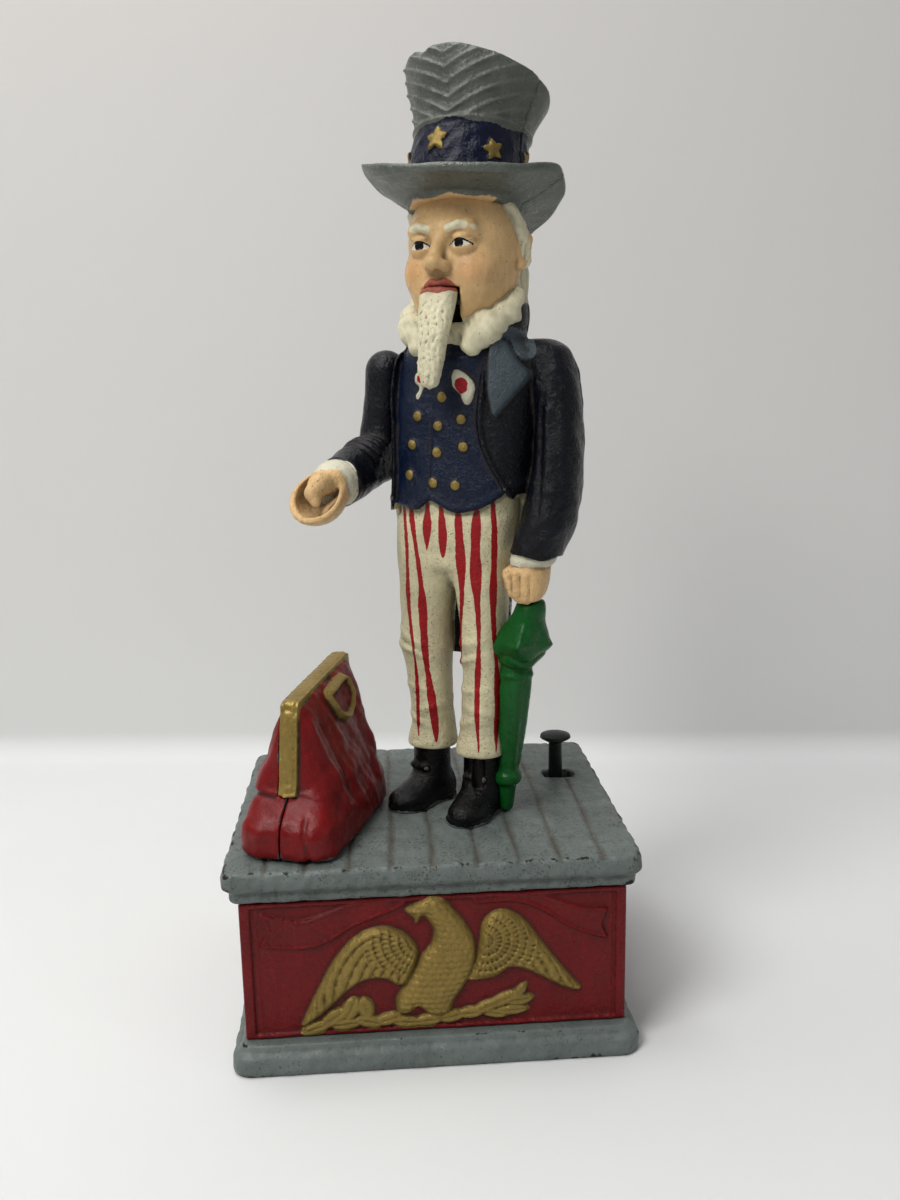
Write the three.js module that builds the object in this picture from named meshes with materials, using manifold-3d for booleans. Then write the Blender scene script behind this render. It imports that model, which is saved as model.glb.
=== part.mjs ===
// A cast-iron mechanical coin bank: a standing figure in a top hat on a plank-topped box, with a carpet bag.
// Pressing the thumb lever behind the figure lowers its right arm, opens its jaw and opens the bag.
//
// Millimetres, +Z up. The origin is the middle of the base's underside, and the front faces -Y.
// The figure stands in its own turned frame: local x to its left, local y to its back, local z up from the
// platform's top. The bag has a turned frame of its own: u across, v along its length, z up from the platform.

import * as THREE from "three";
import { mergeVertices } from "three/addons/utils/BufferGeometryUtils.js";
import Module from "manifold-3d";

const wasm = await Module();
wasm.setup();

// ---------------------------------------------------------------- driving dimensions

const GAP = 0.3; // clearance between neighbouring castings
const rad = THREE.MathUtils.degToRad;

const BASE = { width: 119, depth: 108, height: 8.5, wall: 4.5, deck: 3.2, corner: 5 };
const BOX = { width: 113, depth: 96, bottom: BASE.height, top: 52, wall: 3 };
const PLATFORM = { width: 122, depth: 103, bottom: BOX.top, top: 62.5, edge: 5.2, planks: 10 };
const BOLT = { x: 49, y: 40.5, radius: 1.7, headRadius: 3.4, headHeight: 2.2, boss: 3.6, bossDepth: 9 };
const TRAP = { holeRadius: 17, coverRadius: 20, thickness: 1.6, pivotX: 24.5, screwRadius: 1.6, headRadius: 3.2 };

const FIGURE = { x: 10, y: -5.8, yaw: 24, splitY: 5 };
const HEAD = { x: 4, y: 5, yaw: 8 };
const HAT = { seat: 186.5, tilt: 9.5, topMiddle: 33.6, topSlope: 0.32 };
const SHOULDER = { y: 5, z: 138, shaftRadius: 2 };
const CRANK = { front: 4.5, rear: 3.7, rest: 14, eye: 1.6 };
const LEG = { right: { x: -9.5, y: 2.3 }, left: { x: 9.5, y: -2.3 } };
const ROD_RADIUS = 0.9;
const JAW = { y: -7, z: 160, pinRadius: 1.2 };

const BAG = { x: -44.3, y: -45.9, yaw: 18, hingeU: -7.2, hingeZ: 3, pinRadius: 1.1, tailU: -3.1, tailV: 52 };
const COIN_SLOT = { u0: -4.4, u1: 5, v0: 14, v1: 48 };

const LEVER = { pivotX: -16, pivotZ: 46.3, thickness: 3, width: 7, pinRadius: 1.5 };
const THUMB = { x: 46.3, y: 17.5, postRadius: 2.3, headRadius: 5.4, headTop: 77.5 };
const SPRING = { radius: 4, wire: 0.6, turns: 8, bottom: BASE.height + 0.4 };

const PAINT = {
  grey: { color: 0x75807f, roughness: 0.6, metalness: 0.1 },
  red: { color: 0x9a1a1e, roughness: 0.45, metalness: 0.1 },
  navy: { color: 0x141c33, roughness: 0.4, metalness: 0.1 },
  cream: { color: 0xd9d3ba, roughness: 0.6, metalness: 0 },
  green: { color: 0x1f7030, roughness: 0.3, metalness: 0.1 },
  iron: { color: 0x3a3f3e, roughness: 0.55, metalness: 0.7 },
  steel: { color: 0x9a9a98, roughness: 0.35, metalness: 1 },
};

// ---------------------------------------------------------------- shape helpers

// A closed three.js geometry as a manifold solid.
function solid(geometry) {
  const bare = geometry.clone();
  bare.deleteAttribute("normal");
  bare.deleteAttribute("uv");
  const merged = mergeVertices(bare, 1e-4);
  return new wasm.Manifold(
    new wasm.Mesh({
      numProp: 3,
      vertProperties: new Float32Array(merged.attributes.position.array),
      triVerts: new Uint32Array(merged.index.array),
    }),
  );
}

// A manifold solid as a three.js geometry.
function geometryOf(shape) {
  const mesh = shape.getMesh();
  const geometry = new THREE.BufferGeometry();
  geometry.setAttribute("position", new THREE.BufferAttribute(new Float32Array(mesh.vertProperties), 3));
  geometry.setIndex(new THREE.BufferAttribute(new Uint32Array(mesh.triVerts), 1));
  geometry.computeVertexNormals();
  return geometry;
}

const join = (...shapes) => shapes.reduce((a, b) => a.add(b));
const cut = (shape, ...tools) => tools.reduce((a, b) => a.subtract(b), shape);

function box(x0, x1, y0, y1, z0, z1) {
  return solid(new THREE.BoxGeometry(x1 - x0, y1 - y0, z1 - z0).translate((x0 + x1) / 2, (y0 + y1) / 2, (z0 + z1) / 2));
}

function ellipsoid(x, y, z, rx, ry, rz, segments = 18) {
  const sphere = new THREE.SphereGeometry(1, segments, Math.round(segments * 0.6));
  return solid(sphere.rotateX(Math.PI / 2).scale(rx, ry, rz).translate(x, y, z));
}

// A round bar between two points, tapering from r0 to r1.
function bar(from, to, r0, r1 = r0, segments = 12) {
  const a = new THREE.Vector3(...from);
  const b = new THREE.Vector3(...to);
  const cylinder = new THREE.CylinderGeometry(r1, r0, a.distanceTo(b), segments);
  const turn = new THREE.Quaternion().setFromUnitVectors(new THREE.Vector3(0, 1, 0), b.clone().sub(a).normalize());
  const middle = a.clone().add(b).multiplyScalar(0.5);
  return solid(cylinder.applyQuaternion(turn).translate(...middle.toArray()));
}

// A body of oval rings stacked along z: each section is [z, x, y, half width, half depth]. Squareness 2 is an
// ellipse, and more is boxier.
function loft(sections, { segments = 22, squareness = 2 } = {}) {
  const geometry = new THREE.CylinderGeometry(1, 1, 1, segments, sections.length - 1).rotateX(Math.PI / 2);
  const at = geometry.attributes.position;
  for (let i = 0; i < at.count; i++) {
    const ring = Math.round((at.getZ(i) + 0.5) * (sections.length - 1));
    const [z, x, y, a, b] = sections[ring];
    const reach = Math.hypot(at.getX(i), at.getY(i));
    const round = reach > 0.5 ? superellipse(Math.atan2(at.getY(i), at.getX(i)), squareness) : [0, 0];
    at.setXYZ(i, x + a * round[0], y + b * round[1], z);
  }
  return solid(geometry);
}

function superellipse(angle, squareness) {
  const power = 2 / squareness;
  const shaped = (v) => Math.sign(v) * Math.abs(v) ** power;
  return [shaped(Math.cos(angle)), shaped(Math.sin(angle))];
}

function roundedRectangle(width, depth, corner) {
  const [x, y] = [width / 2, depth / 2];
  const shape = new THREE.Shape();
  shape.moveTo(-x + corner, -y);
  shape.lineTo(x - corner, -y).absarc(x - corner, -y + corner, corner, -Math.PI / 2, 0);
  shape.lineTo(x, y - corner).absarc(x - corner, y - corner, corner, 0, Math.PI / 2);
  shape.lineTo(-x + corner, y).absarc(-x + corner, y - corner, corner, Math.PI / 2, Math.PI);
  shape.lineTo(-x, -y + corner).absarc(-x + corner, -y + corner, corner, Math.PI, 1.5 * Math.PI);
  return shape;
}

// A shape pushed up from z0 to z1, with an optional bevel inside that height.
function slab(shape, z0, z1, bevel = 0) {
  const geometry = new THREE.ExtrudeGeometry(shape, {
    depth: z1 - z0 - 2 * bevel,
    bevelEnabled: bevel > 0,
    bevelThickness: bevel,
    bevelSize: bevel,
    bevelOffset: -bevel,
    bevelSegments: 2,
    curveSegments: 4,
  });
  return solid(geometry.translate(0, 0, z0 + bevel));
}

// A flat strip of plan width along a line of [x, y] points, from z0 to z1, with round joints.
function strip(points, width, z0, z1) {
  const pieces = [];
  points.forEach(([x, y], i) => {
    pieces.push(bar([x, y, z0], [x, y, z1], width / 2, width / 2, 16));
    if (i === 0) return;
    const [px, py] = points[i - 1];
    const length = Math.hypot(x - px, y - py);
    const plank = new THREE.BoxGeometry(length, width, z1 - z0)
      .rotateZ(Math.atan2(y - py, x - px))
      .translate((x + px) / 2, (y + py) / 2, (z0 + z1) / 2);
    pieces.push(solid(plank));
  });
  return join(...pieces);
}

// A turned body: profile is a list of [radius, z] from the axis back to the axis, in order of rising z.
function turned(profile, segments = 16) {
  const points = profile.map(([r, z]) => new THREE.Vector2(r, z));
  return solid(new THREE.LatheGeometry(points, segments).rotateX(Math.PI / 2));
}

// A wire of round section along a smooth path of points.
function wire(points, radius, { steps = 40, sides = 6, curve } = {}) {
  const section = new THREE.Shape();
  section.absarc(0, 0, radius, 0, 2 * Math.PI);
  const path = curve ?? new THREE.CatmullRomCurve3(points.map((p) => new THREE.Vector3(...p)));
  return solid(new THREE.ExtrudeGeometry(section, { steps, extrudePath: path, curveSegments: sides / 2 }));
}

function moved(shape, { yaw = 0, tilt = 0, x = 0, y = 0, z = 0 }) {
  return shape.transform(
    new THREE.Matrix4()
      .makeTranslation(x, y, z)
      .multiply(new THREE.Matrix4().makeRotationZ(rad(-yaw)))
      .multiply(new THREE.Matrix4().makeRotationX(rad(tilt)))
      .toArray(),
  );
}

function piece(name, shape, paint) {
  const mesh = new THREE.Mesh(geometryOf(shape), new THREE.MeshStandardMaterial(PAINT[paint]));
  mesh.name = name;
  return mesh;
}

// ---------------------------------------------------------------- the box

const boltPlaces = [
  ["case_bolt_front_left", -1, -1],
  ["case_bolt_front_right", 1, -1],
  ["case_bolt_back_left", -1, 1],
  ["case_bolt_back_right", 1, 1],
].map(([name, sx, sy]) => ({ name, x: sx * BOLT.x, y: sy * BOLT.y }));

function makeBase() {
  const body = slab(roundedRectangle(BASE.width, BASE.depth, BASE.corner), 0, BASE.height, 1.6);
  const [hx, hy] = [BASE.width / 2 - BASE.wall, BASE.depth / 2 - BASE.wall];
  const hollow = box(-hx, hx, -hy, hy, -1, BASE.height - BASE.deck);
  const hole = bar([0, 0, -1], [0, 0, BASE.height + 1], TRAP.holeRadius, TRAP.holeRadius, 32);
  const screwHoles = [TRAP.pivotX, -TRAP.pivotX].map((x) => bar([x, 0, -1], [x, 0, 20], TRAP.screwRadius + GAP));
  const boltHoles = boltPlaces.map(({ x, y }) => bar([x, y, -1], [x, y, 20], BOLT.radius + GAP));
  const springSeat = bar([THUMB.x, THUMB.y, BASE.height - 1], [THUMB.x, THUMB.y, BASE.height + 4], 2.6);
  return join(cut(body, hollow, hole, ...screwHoles, ...boltHoles), springSeat);
}

// A wall panel standing between the base and the platform, with a raised frame round its outer face.
function makePanel(width, relief = []) {
  const [z0, z1] = [BOX.bottom + GAP, BOX.top - GAP];
  const frame = 3.2;
  const proud = 0.9;
  const plate = box(-width / 2, width / 2, 0, BOX.wall, z0, z1);
  const field = box(-width / 2 + frame, width / 2 - frame, -1, proud, z0 + 1.4, z1 - 1.4);
  return join(cut(plate, field), ...relief);
}

// The bird on the front panel, in flat raised layers: wings, body, tail and a leafy branch.
function birdRelief() {
  const wing = new THREE.Shape();
  wing.moveTo(2, 20);
  wing.bezierCurveTo(4, 30, 12, 42, 22, 38);
  wing.bezierCurveTo(32, 33, 38, 22, 44, 13);
  wing.bezierCurveTo(36, 15, 30, 17, 24, 22);
  wing.bezierCurveTo(18, 24, 12, 20, 6, 13);
  wing.lineTo(2, 20);
  const body = new THREE.Shape();
  body.moveTo(-3, 44);
  body.bezierCurveTo(0, 48, 5, 47, 5.5, 42);
  body.bezierCurveTo(6, 38, 9, 34, 9, 26);
  body.bezierCurveTo(9, 18, 5, 12, 1, 10);
  body.bezierCurveTo(-5, 12, -9, 18, -8.5, 26);
  body.bezierCurveTo(-8, 33, -3, 36, -3.5, 40);
  body.lineTo(-7, 40.5);
  body.lineTo(-3, 44);
  const branch = new THREE.Shape();
  branch.moveTo(-30, 9);
  branch.bezierCurveTo(-26, 15, -16, 14, -12, 11);
  branch.bezierCurveTo(-4, 9, 4, 9, 12, 11);
  branch.bezierCurveTo(18, 15, 26, 15, 30, 13);
  branch.bezierCurveTo(26, 8, 18, 7, 12, 8);
  branch.bezierCurveTo(4, 6, -4, 6, -12, 8);
  branch.bezierCurveTo(-18, 6, -26, 6, -30, 9);
  const lift = (shape, thick, flip = 1) => {
    const geometry = new THREE.ExtrudeGeometry(shape, { depth: thick, bevelEnabled: false, curveSegments: 5 });
    geometry.rotateX(Math.PI / 2).translate(0, 1.4, 1.2);
    const raised = solid(geometry);
    return flip > 0 ? raised : raised.mirror([1, 0, 0]);
  };
  const fit = 0.92;
  const bird = join(lift(wing, 1.9), lift(wing, 1.9, -1), lift(body, 2.6), lift(branch, 2));
  return bird.scale([fit, 1, fit]).translate([0, 0, BOX.bottom - 2]);
}

function makePlatform() {
  const { width, depth, bottom, top, edge } = PLATFORM;
  const slabTop = slab(roundedRectangle(width, depth, 3), top - edge, top, 0.9);
  const cove = slab(roundedRectangle(width - 3, depth - 3, 3), bottom, top - edge + 0.5, 1.6);
  const grooves = [];
  for (let i = 1; i < PLATFORM.planks; i++) {
    const x = -width / 2 + (width * i) / PLATFORM.planks;
    const bead = new THREE.BoxGeometry(0.9, depth + 2, 0.9).rotateY(Math.PI / 4).translate(x, 0, top);
    grooves.push(solid(bead));
  }
  const hollow = box(-BOX.width / 2 + 6, BOX.width / 2 - 6, -BOX.depth / 2 + 6, BOX.depth / 2 - 6, bottom - 1, top - 5.5);
  const bosses = boltPlaces.map(({ x, y }) =>
    bar([x, y, bottom - BOLT.bossDepth], [x, y, top - 4], BOLT.boss, BOLT.boss, 16),
  );
  const boltHoles = boltPlaces.map(({ x, y }) =>
    bar([x, y, bottom - BOLT.bossDepth - 1], [x, y, top - 5], BOLT.radius + GAP),
  );
  const leverSlot = box(THUMB.x - 4, THUMB.x + 6, THUMB.y - 3.6, THUMB.y + 3.6, bottom - 5, top + 1);
  const ears = [-5, 8.5].map((y) =>
    join(
      box(LEVER.pivotX - 4, LEVER.pivotX + 4, y - 1.5, y + 1.5, LEVER.pivotZ, top - 4),
      bar([LEVER.pivotX, y - 1.5, LEVER.pivotZ], [LEVER.pivotX, y + 1.5, LEVER.pivotZ], 4, 4, 16),
    ),
  );
  const pinHole = bar(
    [LEVER.pivotX, -20, LEVER.pivotZ],
    [LEVER.pivotX, 20, LEVER.pivotZ],
    LEVER.pinRadius + GAP,
  );
  const bagPart = (shape) => moved(shape, { yaw: BAG.yaw, x: BAG.x, y: BAG.y, z: top });
  const coinSlot = bagPart(box(COIN_SLOT.u0, COIN_SLOT.u1, COIN_SLOT.v0, COIN_SLOT.v1, -20, 2));
  const tailSlot = bagPart(box(BAG.tailU - 2, BAG.tailU + 7, BAG.tailV - 3.2, BAG.tailV + 3.2, -20, 2));
  const bagScrewHoles = bagScrewPlaces.map(({ u, v }) => bagPart(bar([u, v, -20], [u, v, 2], 1.4 + GAP)));
  const hingeEars = bagPart(
    cut(
      join(
        ...[12.5, 46].map((v) =>
          join(
            box(BAG.hingeU - 2.4, BAG.hingeU + 2.4, v - 1.5, v + 1.5, -2, BAG.hingeZ),
            bar([BAG.hingeU, v - 1.5, BAG.hingeZ], [BAG.hingeU, v + 1.5, BAG.hingeZ], 2.4),
          ),
        ),
      ),
      bar([BAG.hingeU, 0, BAG.hingeZ], [BAG.hingeU, 60, BAG.hingeZ], BAG.pinRadius + GAP),
    ),
  );
  const figurePart = (shape) => moved(shape, { yaw: FIGURE.yaw, x: FIGURE.x, y: FIGURE.y, z: top });
  const rodHole = figurePart(bar([LEG.right.x, rodY, -20], [LEG.right.x, rodY, 2], 2.2));
  const footHoles = footScrewPlaces.map(({ x, y }) => figurePart(bar([x, y, -20], [x, y, 2], 1.5 + GAP)));
  const deck = cut(join(slabTop, cove), hollow, ...grooves);
  const fitted = join(deck, ...bosses, ...ears);
  const open = cut(fitted, ...boltHoles, leverSlot, pinHole, coinSlot, tailSlot, rodHole);
  return join(cut(open, ...bagScrewHoles, ...footHoles), hingeEars);
}

function makeCaseBolt(x, y) {
  const seat = BASE.height - BASE.deck;
  return join(
    bar([x, y, seat - GAP - BOLT.headHeight], [x, y, seat - GAP], BOLT.headRadius - 0.6, BOLT.headRadius, 16),
    bar([x, y, seat - GAP - 0.2], [x, y, PLATFORM.top - 5.6], BOLT.radius),
  );
}

function makeTrapCover() {
  const top = BASE.height - BASE.deck - GAP;
  const bottom = top - TRAP.thickness;
  const disc = bar([0, 0, bottom], [0, 0, top], TRAP.coverRadius, TRAP.coverRadius, 36);
  const ear = bar([TRAP.pivotX, 0, bottom], [TRAP.pivotX, 0, top], 5.5, 5.5, 16);
  const hook = bar([-TRAP.pivotX, 0, bottom], [-TRAP.pivotX, 0, top], 5, 5, 16);
  const pivotHole = bar([TRAP.pivotX, 0, 0], [TRAP.pivotX, 0, 20], TRAP.screwRadius + GAP);
  const slotReach = TRAP.screwRadius + GAP;
  const hookSlot = join(
    bar([-TRAP.pivotX, 0, 0], [-TRAP.pivotX, 0, 20], slotReach),
    box(-TRAP.pivotX - slotReach, -TRAP.pivotX + slotReach, -9, 0, 0, 20),
  );
  const pull = bar([-6, 0, bottom - 1.2], [6, 0, bottom - 1.2], 1.5);
  return join(cut(join(disc, ear, hook), pivotHole, hookSlot), pull);
}

function makeTrapScrew(x) {
  const seat = BASE.height - BASE.deck - TRAP.thickness - 2 * GAP;
  return join(
    bar([x, 0, seat - 1.8], [x, 0, seat], TRAP.headRadius - 0.4, TRAP.headRadius, 16),
    bar([x, 0, seat - 0.2], [x, 0, BASE.height + 2], TRAP.screwRadius),
  );
}

// ---------------------------------------------------------------- the lever train

const rodY = SHOULDER.y - CRANK.front * Math.cos(rad(CRANK.rest));
const rodTop = SHOULDER.z + CRANK.front * Math.sin(rad(CRANK.rest));
const jawRodY = SHOULDER.y + CRANK.rear * Math.cos(rad(CRANK.rest));
const jawRodFoot = SHOULDER.z - CRANK.rear * Math.sin(rad(CRANK.rest));

const toRow = (x, y) => {
  const turn = rad(FIGURE.yaw);
  return [
    FIGURE.x + x * Math.cos(turn) + y * Math.sin(turn),
    FIGURE.y - x * Math.sin(turn) + y * Math.cos(turn),
  ];
};
const rodPlace = toRow(LEG.right.x, rodY);

function makeThumbLever() {
  const z0 = LEVER.pivotZ - LEVER.thickness / 2;
  const z1 = z0 + LEVER.thickness;
  const route = [[-32, 4.6], [LEVER.pivotX, 1.75], rodPlace, [THUMB.x, THUMB.y]];
  const plate = strip(route, LEVER.width, z0, z1);
  const hub = bar([LEVER.pivotX, -3.1, LEVER.pivotZ], [LEVER.pivotX, 6.6, LEVER.pivotZ], 3.4, 3.4, 16);
  const pinHole = bar(
    [LEVER.pivotX, -8, LEVER.pivotZ],
    [LEVER.pivotX, 12, LEVER.pivotZ],
    LEVER.pinRadius + GAP,
  );
  const rodHole = bar([...rodPlace, z0 - 1], [...rodPlace, z1 + 1], 1.7);
  const pad = bar([THUMB.x, THUMB.y, z0], [THUMB.x, THUMB.y, z1], 5.4, 5.4, 16);
  const post = bar([THUMB.x, THUMB.y, z0 + 0.5], [THUMB.x, THUMB.y, THUMB.headTop - 2], 2.6, THUMB.postRadius);
  const head = turned([[0, -3.2], [THUMB.postRadius + 0.4, -3.2], [THUMB.headRadius, -1.6], [THUMB.headRadius - 0.3, -0.7], [3, 0], [0, 0.2]])
    .translate([THUMB.x, THUMB.y, THUMB.headTop]);
  return join(cut(join(plate, hub), pinHole, rodHole), pad, post, head);
}

function makeLeverPin() {
  const { pivotX: x, pivotZ: z, pinRadius } = LEVER;
  return join(bar([x, -7.5, z], [x, 10.8, z], pinRadius), bar([x, 10.4, z], [x, 11.6, z], 2.6));
}

function makeSpring() {
  const top = LEVER.pivotZ - LEVER.thickness / 2 - 0.4 - SPRING.wire;
  const bottom = SPRING.bottom + SPRING.wire;
  class Coil extends THREE.Curve {
    getPoint(t) {
      const angle = t * SPRING.turns * 2 * Math.PI;
      return new THREE.Vector3(
        THUMB.x + SPRING.radius * Math.cos(angle),
        THUMB.y + SPRING.radius * Math.sin(angle),
        bottom + (top - bottom) * t,
      );
    }
  }
  return wire([], SPRING.wire, { steps: SPRING.turns * 12, sides: 6, curve: new Coil() });
}

// The long rod from the lever up the hollow right leg to the crank, with a nut under the lever.
function makePullRod() {
  const x = LEG.right.x;
  const foot = LEVER.pivotZ - LEVER.thickness / 2 - PLATFORM.top;
  return join(
    bar([x, rodY, foot - 3.4], [x, rodY, rodTop], ROD_RADIUS, ROD_RADIUS, 8),
    bar([x - 0.4, rodY, rodTop], [x + 6.2, rodY, rodTop], ROD_RADIUS, ROD_RADIUS, 8),
    bar([x, rodY, foot - 2.6], [x, rodY, foot - 0.6], 2.2),
  );
}

function makeJawRod() {
  const x = 4.5;
  const tip = JAW.z - 2.4;
  return join(
    bar([x, jawRodY, jawRodFoot], [x, jawRodY, tip], ROD_RADIUS, ROD_RADIUS, 8),
    bar([x + 0.4, jawRodY, jawRodFoot], [-1.2, jawRodY, jawRodFoot], ROD_RADIUS, ROD_RADIUS, 8),
  );
}

// A hub on the shoulder shaft with a front arm for the pull rod and a rear arm for the jaw rod.
function makeCrank() {
  const { y, z, shaftRadius } = SHOULDER;
  const arm = (x0, x1, length, angle) => {
    const [dy, dz] = [-length * Math.cos(rad(angle)), length * Math.sin(rad(angle))];
    const eye = bar([x0, y + dy, z + dz], [x1, y + dy, z + dz], CRANK.eye + 1.3, CRANK.eye + 1.3, 14);
    const web = new THREE.BoxGeometry(x1 - x0, length, 3.6)
      .translate((x0 + x1) / 2, -length / 2, 0)
      .rotateX(rad(-angle))
      .translate(0, y, z);
    return cut(
      join(eye, solid(web)),
      bar([x0 - 1, y + dy, z + dz], [x1 + 1, y + dy, z + dz], CRANK.eye, CRANK.eye, 14),
    );
  };
  const hub = bar([-9, y, z], [3, y, z], 3.1, 3.1, 16);
  const bore = bar([-20, y, z], [20, y, z], shaftRadius + GAP, shaftRadius + GAP, 16);
  const trim = join(bar([-9.5, y, z], [3.5, y, z], 3.05, 3.05, 16));
  const front = arm(-7.4, -4.6, CRANK.front, CRANK.rest).subtract(trim);
  const rear = arm(0, 2.8, -CRANK.rear, CRANK.rest).subtract(trim);
  return cut(join(hub, front, rear), bore, ...crankEyes());
}

// The eye holes run through the hub's rim too, because the arms are short.
function crankEyes() {
  const { y, z } = SHOULDER;
  const c = Math.cos(rad(CRANK.rest));
  const s = Math.sin(rad(CRANK.rest));
  const front = [y - CRANK.front * c, z + CRANK.front * s];
  const rear = [y + CRANK.rear * c, z - CRANK.rear * s];
  return [
    bar([-8, ...front], [-4, ...front], CRANK.eye, CRANK.eye, 14),
    bar([-12, ...front], [-7, ...front], CRANK.eye, CRANK.eye, 14),
    bar([-2, ...rear], [6, ...rear], CRANK.eye, CRANK.eye, 14),
  ];
}

function makeShoulderShaft() {
  const { y, z, shaftRadius } = SHOULDER;
  return bar([-26, y, z], [15, y, z], shaftRadius, shaftRadius, 16);
}

// ---------------------------------------------------------------- the figure

const footScrewPlaces = [
  { name: "foot_screw", x: -9.5, y: 6.4, top: 9 },
  { name: "foot_rivet", x: 10, y: -7.4, top: 10.4 },
];
const figureScrewPlaces = [
  { name: "figure_screw_upper", x: 11, z: 120 },
  { name: "figure_screw_lower", x: 1.5, z: 97 },
];

function makeLeg({ x, y }) {
  return loft([
    [15, x, y, 8.4, 9],
    [20, x, y, 7.6, 8.3],
    [34, x, y, 7.2, 7.9],
    [52, x, y - 0.6, 8.3, 8.8],
    [63, x * 0.98, y, 7.9, 8.5],
    [78, x * 0.9, y * 0.8, 8.8, 10],
    [90, x * 0.85, y * 0.7, 9, 10.5],
  ]);
}

function makeShoe({ x, y }, splay) {
  const upper = loft(
    [
      [0.3, 0, -4.2, 6.4, 13.6],
      [1.4, 0, -4.2, 7, 14.2],
      [5, 0, -4, 6.6, 13.2],
      [8.5, 0, -1.4, 6, 9.6],
      [12, 0, 0.6, 5.6, 7.4],
      [17, 0, 0.6, 5.4, 7],
    ],
    { segments: 20 },
  );
  return moved(upper, { yaw: splay, x, y });
}

function makeTorso() {
  return loft(
    [
      [82, 0.6, 1.6, 17.2, 11.6],
      [95, 1.4, 2, 18.4, 12.6],
      [101, 1.8, 2.2, 18.9, 12.9],
      [113, 2.2, 2.6, 18.4, 12.4],
      [126, 2.5, 3, 19.3, 12.2],
      [136, 2.6, 3.4, 19.9, 11.8],
      [142.5, 2.8, 3.8, 19.2, 10.6],
      [147, 3, 4, 15, 9.6],
      [151, 3.4, 4.4, 10.5, 9],
    ],
    { segments: 28, squareness: 2.3 },
  );
}

function makeLeftArm() {
  const sleeve = loft([
    [80.5, 26, -3.5, 7.6, 7.8],
    [88, 27, -2.6, 8.1, 8.4],
    [101, 29.6, -0.6, 8.4, 9],
    [115, 31.4, 1.4, 8.2, 9.2],
    [130, 30.6, 3, 8.4, 9],
    [139, 27.6, 4, 8.4, 8.4],
    [144.5, 23.5, 4.2, 6, 5.5],
  ]);
  const shoulder = ellipsoid(21, 4, 136, 13.5, 9.5, 9);
  const hand = ellipsoid(25.6, -4.2, 74.4, 6.6, 6.8, 8);
  return join(sleeve, shoulder, hand);
}

function headPart(shape) {
  return moved(shape, { yaw: HEAD.yaw, x: HEAD.x, y: HEAD.y });
}

function makeHead() {
  const skull = ellipsoid(0, 0.2, 171, 17.4, 18.2, 23, 24);
  const neck = loft([
    [146, 0, 0, 11, 10],
    [163, 0, 0, 10.5, 10.5],
  ]);
  const whiskers = loft([
    [144.5, 0, -9.5, 9, 5],
    [149, 0, -8, 13.5, 9],
    [156, 0, -5, 16.6, 12.5],
    [163, 0, -2, 17.4, 14.5],
    [170, 0, 2, 17.2, 12],
  ]);
  const nose = ellipsoid(0, -18.2, 168, 3, 4, 4.4, 12);
  const ears = [-1, 1].map((side) => ellipsoid(side * 17.2, 1.5, 172, 2, 3.4, 5.4, 12));
  const hair = ellipsoid(0, 10.5, 164, 14.5, 10, 19);
  return headPart(join(skull, neck, whiskers, nose, hair, ...ears));
}

// The hat leans back. Its brim lifts at the sides and droops behind, and its flat top slopes down to the back.
function makeHat() {
  const profile = [
    [0, -6], [16.6, -6], [16.8, 0], [23, 0.5], [29, 1.4], [29.8, 2.4], [29, 3.2], [23, 2.8], [17.4, 2.6],
    [17.2, 12.4], [17.6, 22], [19, 31], [21, 42], [0, 42.4],
  ];
  const points = profile.map(([r, z]) => new THREE.Vector2(r, z));
  const geometry = new THREE.LatheGeometry(points, 36).rotateX(Math.PI / 2);
  const at = geometry.attributes.position;
  for (let i = 0; i < at.count; i++) {
    const [x, y, z] = [at.getX(i), at.getY(i), at.getZ(i)];
    const out = Math.max(0, (Math.hypot(x, y) - 17.4) / 12.4);
    if (out > 0 && z < 5) at.setZ(i, z + brimLift(Math.atan2(x, -y)) * out ** 1.5);
  }
  const slope = new THREE.BoxGeometry(90, 90, 30).translate(0, 0, 15).rotateX(Math.atan(-HAT.topSlope));
  const crown = solid(geometry).subtract(solid(slope.translate(0, 0, HAT.topMiddle)));
  return headPart(moved(crown, { tilt: -HAT.tilt, y: 1.2, z: HAT.seat }));
}

function brimLift(angle) {
  return 2.2 + 4 * Math.cos(angle) - 3.2 * Math.cos(2 * angle);
}

// Everything hollow inside the two halves: the trunk, neck, skull, right leg, shaft seats and jaw slot.
function figureHollow() {
  const { y, z, shaftRadius } = SHOULDER;
  const trunk = loft(
    [
      [96, 1.8, 2.2, 15, 8.6],
      [113, 2.2, 2.6, 14.6, 8.8],
      [130, 2.5, 3.2, 15.4, 8.6],
      [141, 2.8, 4, 13.5, 7.6],
      [146, 3.4, 4.6, 7.6, 6.8],
      [162, 4, 5, 7, 7],
    ],
    { squareness: 2.3 },
  );
  const skull = headPart(ellipsoid(0, 0, 174, 11, 12, 15.5));
  const crankRoom = bar([-10, y, z], [6, y, z], 7.8, 7.8, 20);
  const legChannel = bar([LEG.right.x, rodY, -1], [LEG.right.x, rodY, 100], 2.8);
  const hubSeat = bar([-24, y, z], [-8, y, z], 5.1, 5.1, 20);
  const shaftSeat = bar([-20, y, z], [16, y, z], shaftRadius + GAP, shaftRadius + GAP, 16);
  const jawRoom = headPart(box(-4.9, 4.9, -13, 7.5, 152, 168));
  const jawSlot = headPart(box(-6.6, 6.6, -40, -11, 143.8, 161.6));
  const jawPinSeat = headPart(bar([-9.4, JAW.y, JAW.z], [9.4, JAW.y, JAW.z], JAW.pinRadius + GAP));
  return { open: join(trunk, skull, crankRoom, legChannel, hubSeat), shaftSeat, jaw: join(jawRoom, jawSlot, jawPinSeat) };
}

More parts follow.
